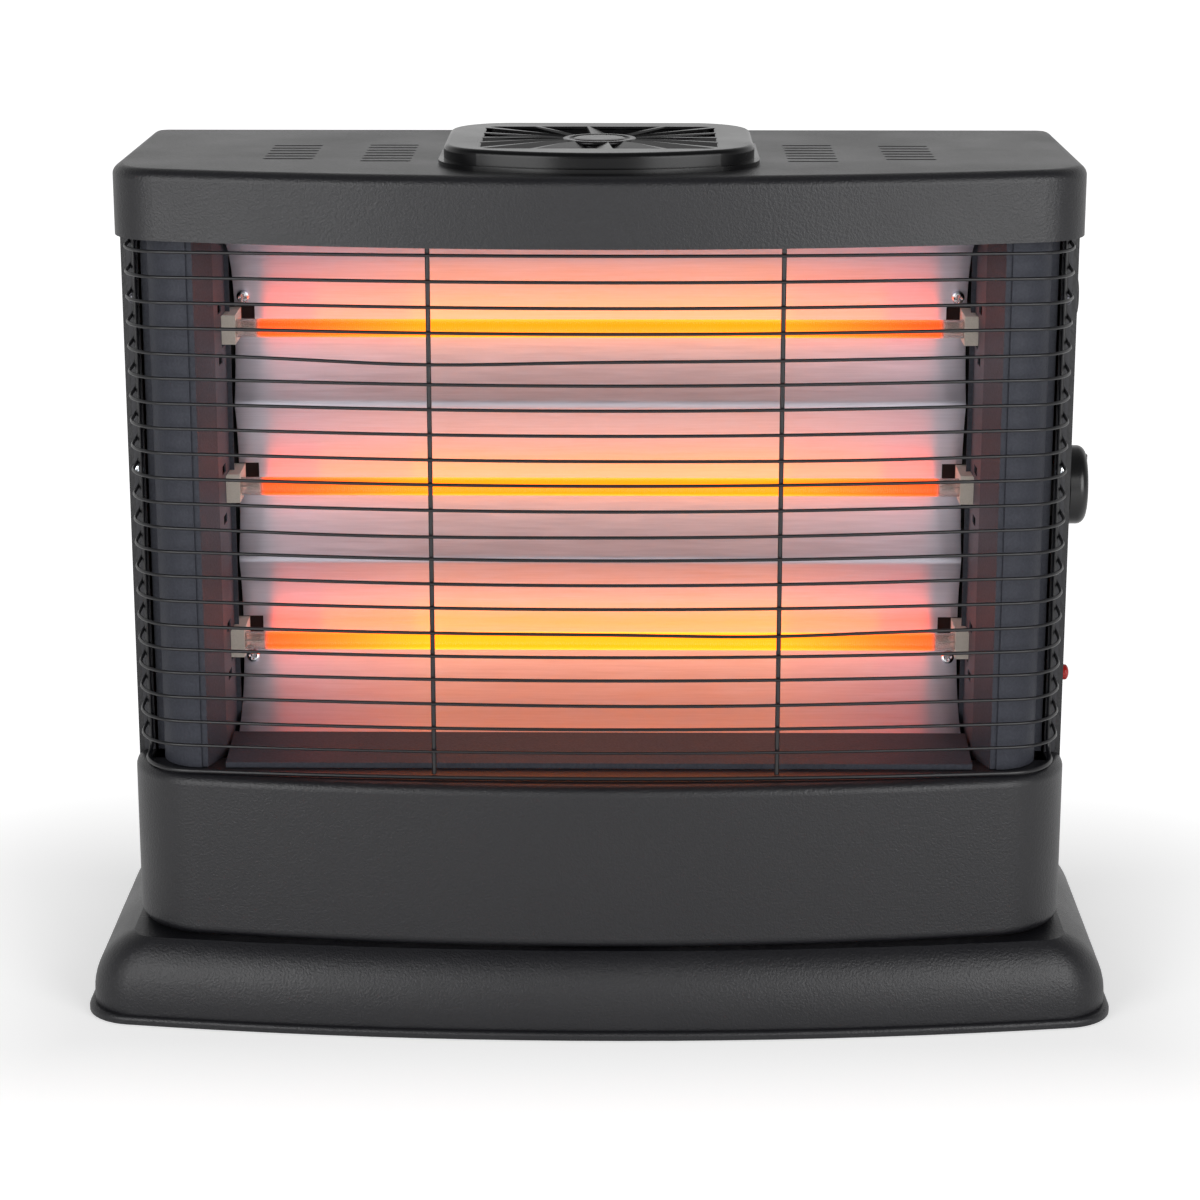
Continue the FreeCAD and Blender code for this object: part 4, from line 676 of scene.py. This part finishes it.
# %% World
world = bpy.data.worlds.new("studio_world")
bpy.context.scene.world = world
world.use_nodes = True
tree = world.node_tree
ray = add_node(tree, "ShaderNodeLightPath", {})
shown = add_node(tree, "ShaderNodeMath", {
    "operation": "MAXIMUM",
    0: ray.outputs["Is Camera Ray"], 1: ray.outputs["Is Transmission Ray"]}).outputs[0]
facing = add_node(tree, "ShaderNodeSeparateXYZ", {
    "Vector": add_node(tree, "ShaderNodeTexCoord", {}).outputs["Generated"]}).outputs
room = add_node(tree, "ShaderNodeMapRange", {
    "label": "room", "interpolation_type": "SMOOTHSTEP", "Value": facing["Y"],
    "From Min": -0.1, "From Max": 0.6, "To Min": 0.43, "To Max": 0.85}).outputs[0]
overhead = add_node(tree, "ShaderNodeMapRange", {
    "label": "overhead", "interpolation_type": "SMOOTHSTEP", "Value": facing["Z"],
    "From Min": 0.25, "From Max": 0.7, "To Min": 1, "To Max": 0.4}).outputs[0]
soft = add_node(tree, "ShaderNodeMapRange", {
    "label": "soft", "Value": ray.outputs["Is Glossy Ray"], "To Min": 0.42, "To Max": 1}).outputs[0]
lit = room
for label, share in (("dim", overhead), ("lit", soft)):
    lit = add_node(tree, "ShaderNodeMath", {
        "label": label, "operation": "MULTIPLY", 0: lit, 1: share}).outputs[0]
level = add_node(tree, "ShaderNodeMix", {"data_type": "FLOAT", 0: shown, 2: lit, 3: 1}).outputs[0]
add_node(tree, "Background", {"Color": linear("#ffffff"), "Strength": level})
print("world nodes:", len(tree.nodes))

# %% [markdown]
# ## Lamps
# Two soft boxes light the heater from the front corners, as in a product studio. Small strips behind the
# tubes stand for the light that the hot wire throws on the reflector, because a lamp does that with less
# noise than a glowing mesh.

# %% Soft boxes and glow
SOFTBOX_X = 1.15
SOFTBOX_Y = -1.6
SOFTBOX_Z = 0.75
SOFTBOX_AIM = (0, 0, 0.3)
SOFTBOXES = (("left_softbox", -1, 19), ("right_softbox", 1, 21))
# The strips behind each tube: name, place along X, length and colour, redder at the ends
STRIPS = (
    ("left_end", -0.18, 0.03, "#ff5a38"), ("left", -0.1375, 0.055, "#ff7630"), ("middle", 0, 0.22, "#ff8a28"),
    ("right", 0.1375, 0.055, "#ff7630"), ("right_end", 0.18, 0.03, "#ff5a38"))
STRIP_TALL = 0.008
WATTS_PER_METRE = {"bottom": 0.12, "middle": 0.11, "top": 0.105}


def add_lamp(name, place, aim, energy, size, size_y, colour="#ffffff"):
    """Add a rectangular lamp at a place that faces another."""
    light = bpy.data.lights.new(name, "AREA")
    light.shape = "RECTANGLE"
    light.energy = energy
    light.size = size
    light.size_y = size_y
    light.color = linear(colour)[:3]
    lamp = bpy.data.objects.new(name, light)
    lamp.location = place
    lamp.rotation_euler = (Vector(aim) - Vector(place)).to_track_quat("-Z", "Y").to_euler()
    bpy.context.collection.objects.link(lamp)


for name, side, watts in SOFTBOXES:
    add_lamp(name, (SOFTBOX_X * side, SOFTBOX_Y, SOFTBOX_Z), SOFTBOX_AIM, watts, size=1.1, size_y=1.3)
for tube, watts in WATTS_PER_METRE.items():
    z = TUBE_HEIGHTS[tube] * MM
    for part, x, length, colour in STRIPS:
        add_lamp(f"glow_{tube}_{part}", (x, -STRIP_TALL, z), (x, STRIP_TALL, z), watts * length,
                 size=length, size_y=STRIP_TALL, colour=colour)
print("lamps:", len(bpy.data.lights))

# %% [markdown]
# ## Camera
# The picture was taken from a little above, far enough away that the sides barely show. A long lens from
# the measured place gives the same view, and a small turn keeps the heater in the middle.

# %% Camera
CAMERA_AT = (0.0175, -1.809, 0.7087)
CAMERA_TILT = math.radians(75)
camera_data = bpy.data.cameras.new("camera")
camera_data.sensor_width = 36
camera_data.lens = 96.2
camera = bpy.data.objects.new("camera", camera_data)
camera.location = CAMERA_AT
camera.rotation_euler = (CAMERA_TILT, 0, math.atan2(CAMERA_AT[0], -CAMERA_AT[1]))
bpy.context.collection.objects.link(camera)
bpy.context.scene.camera = camera
bpy.context.scene.view_settings.view_transform = "Standard"
print("lens in mm:", camera_data.lens)
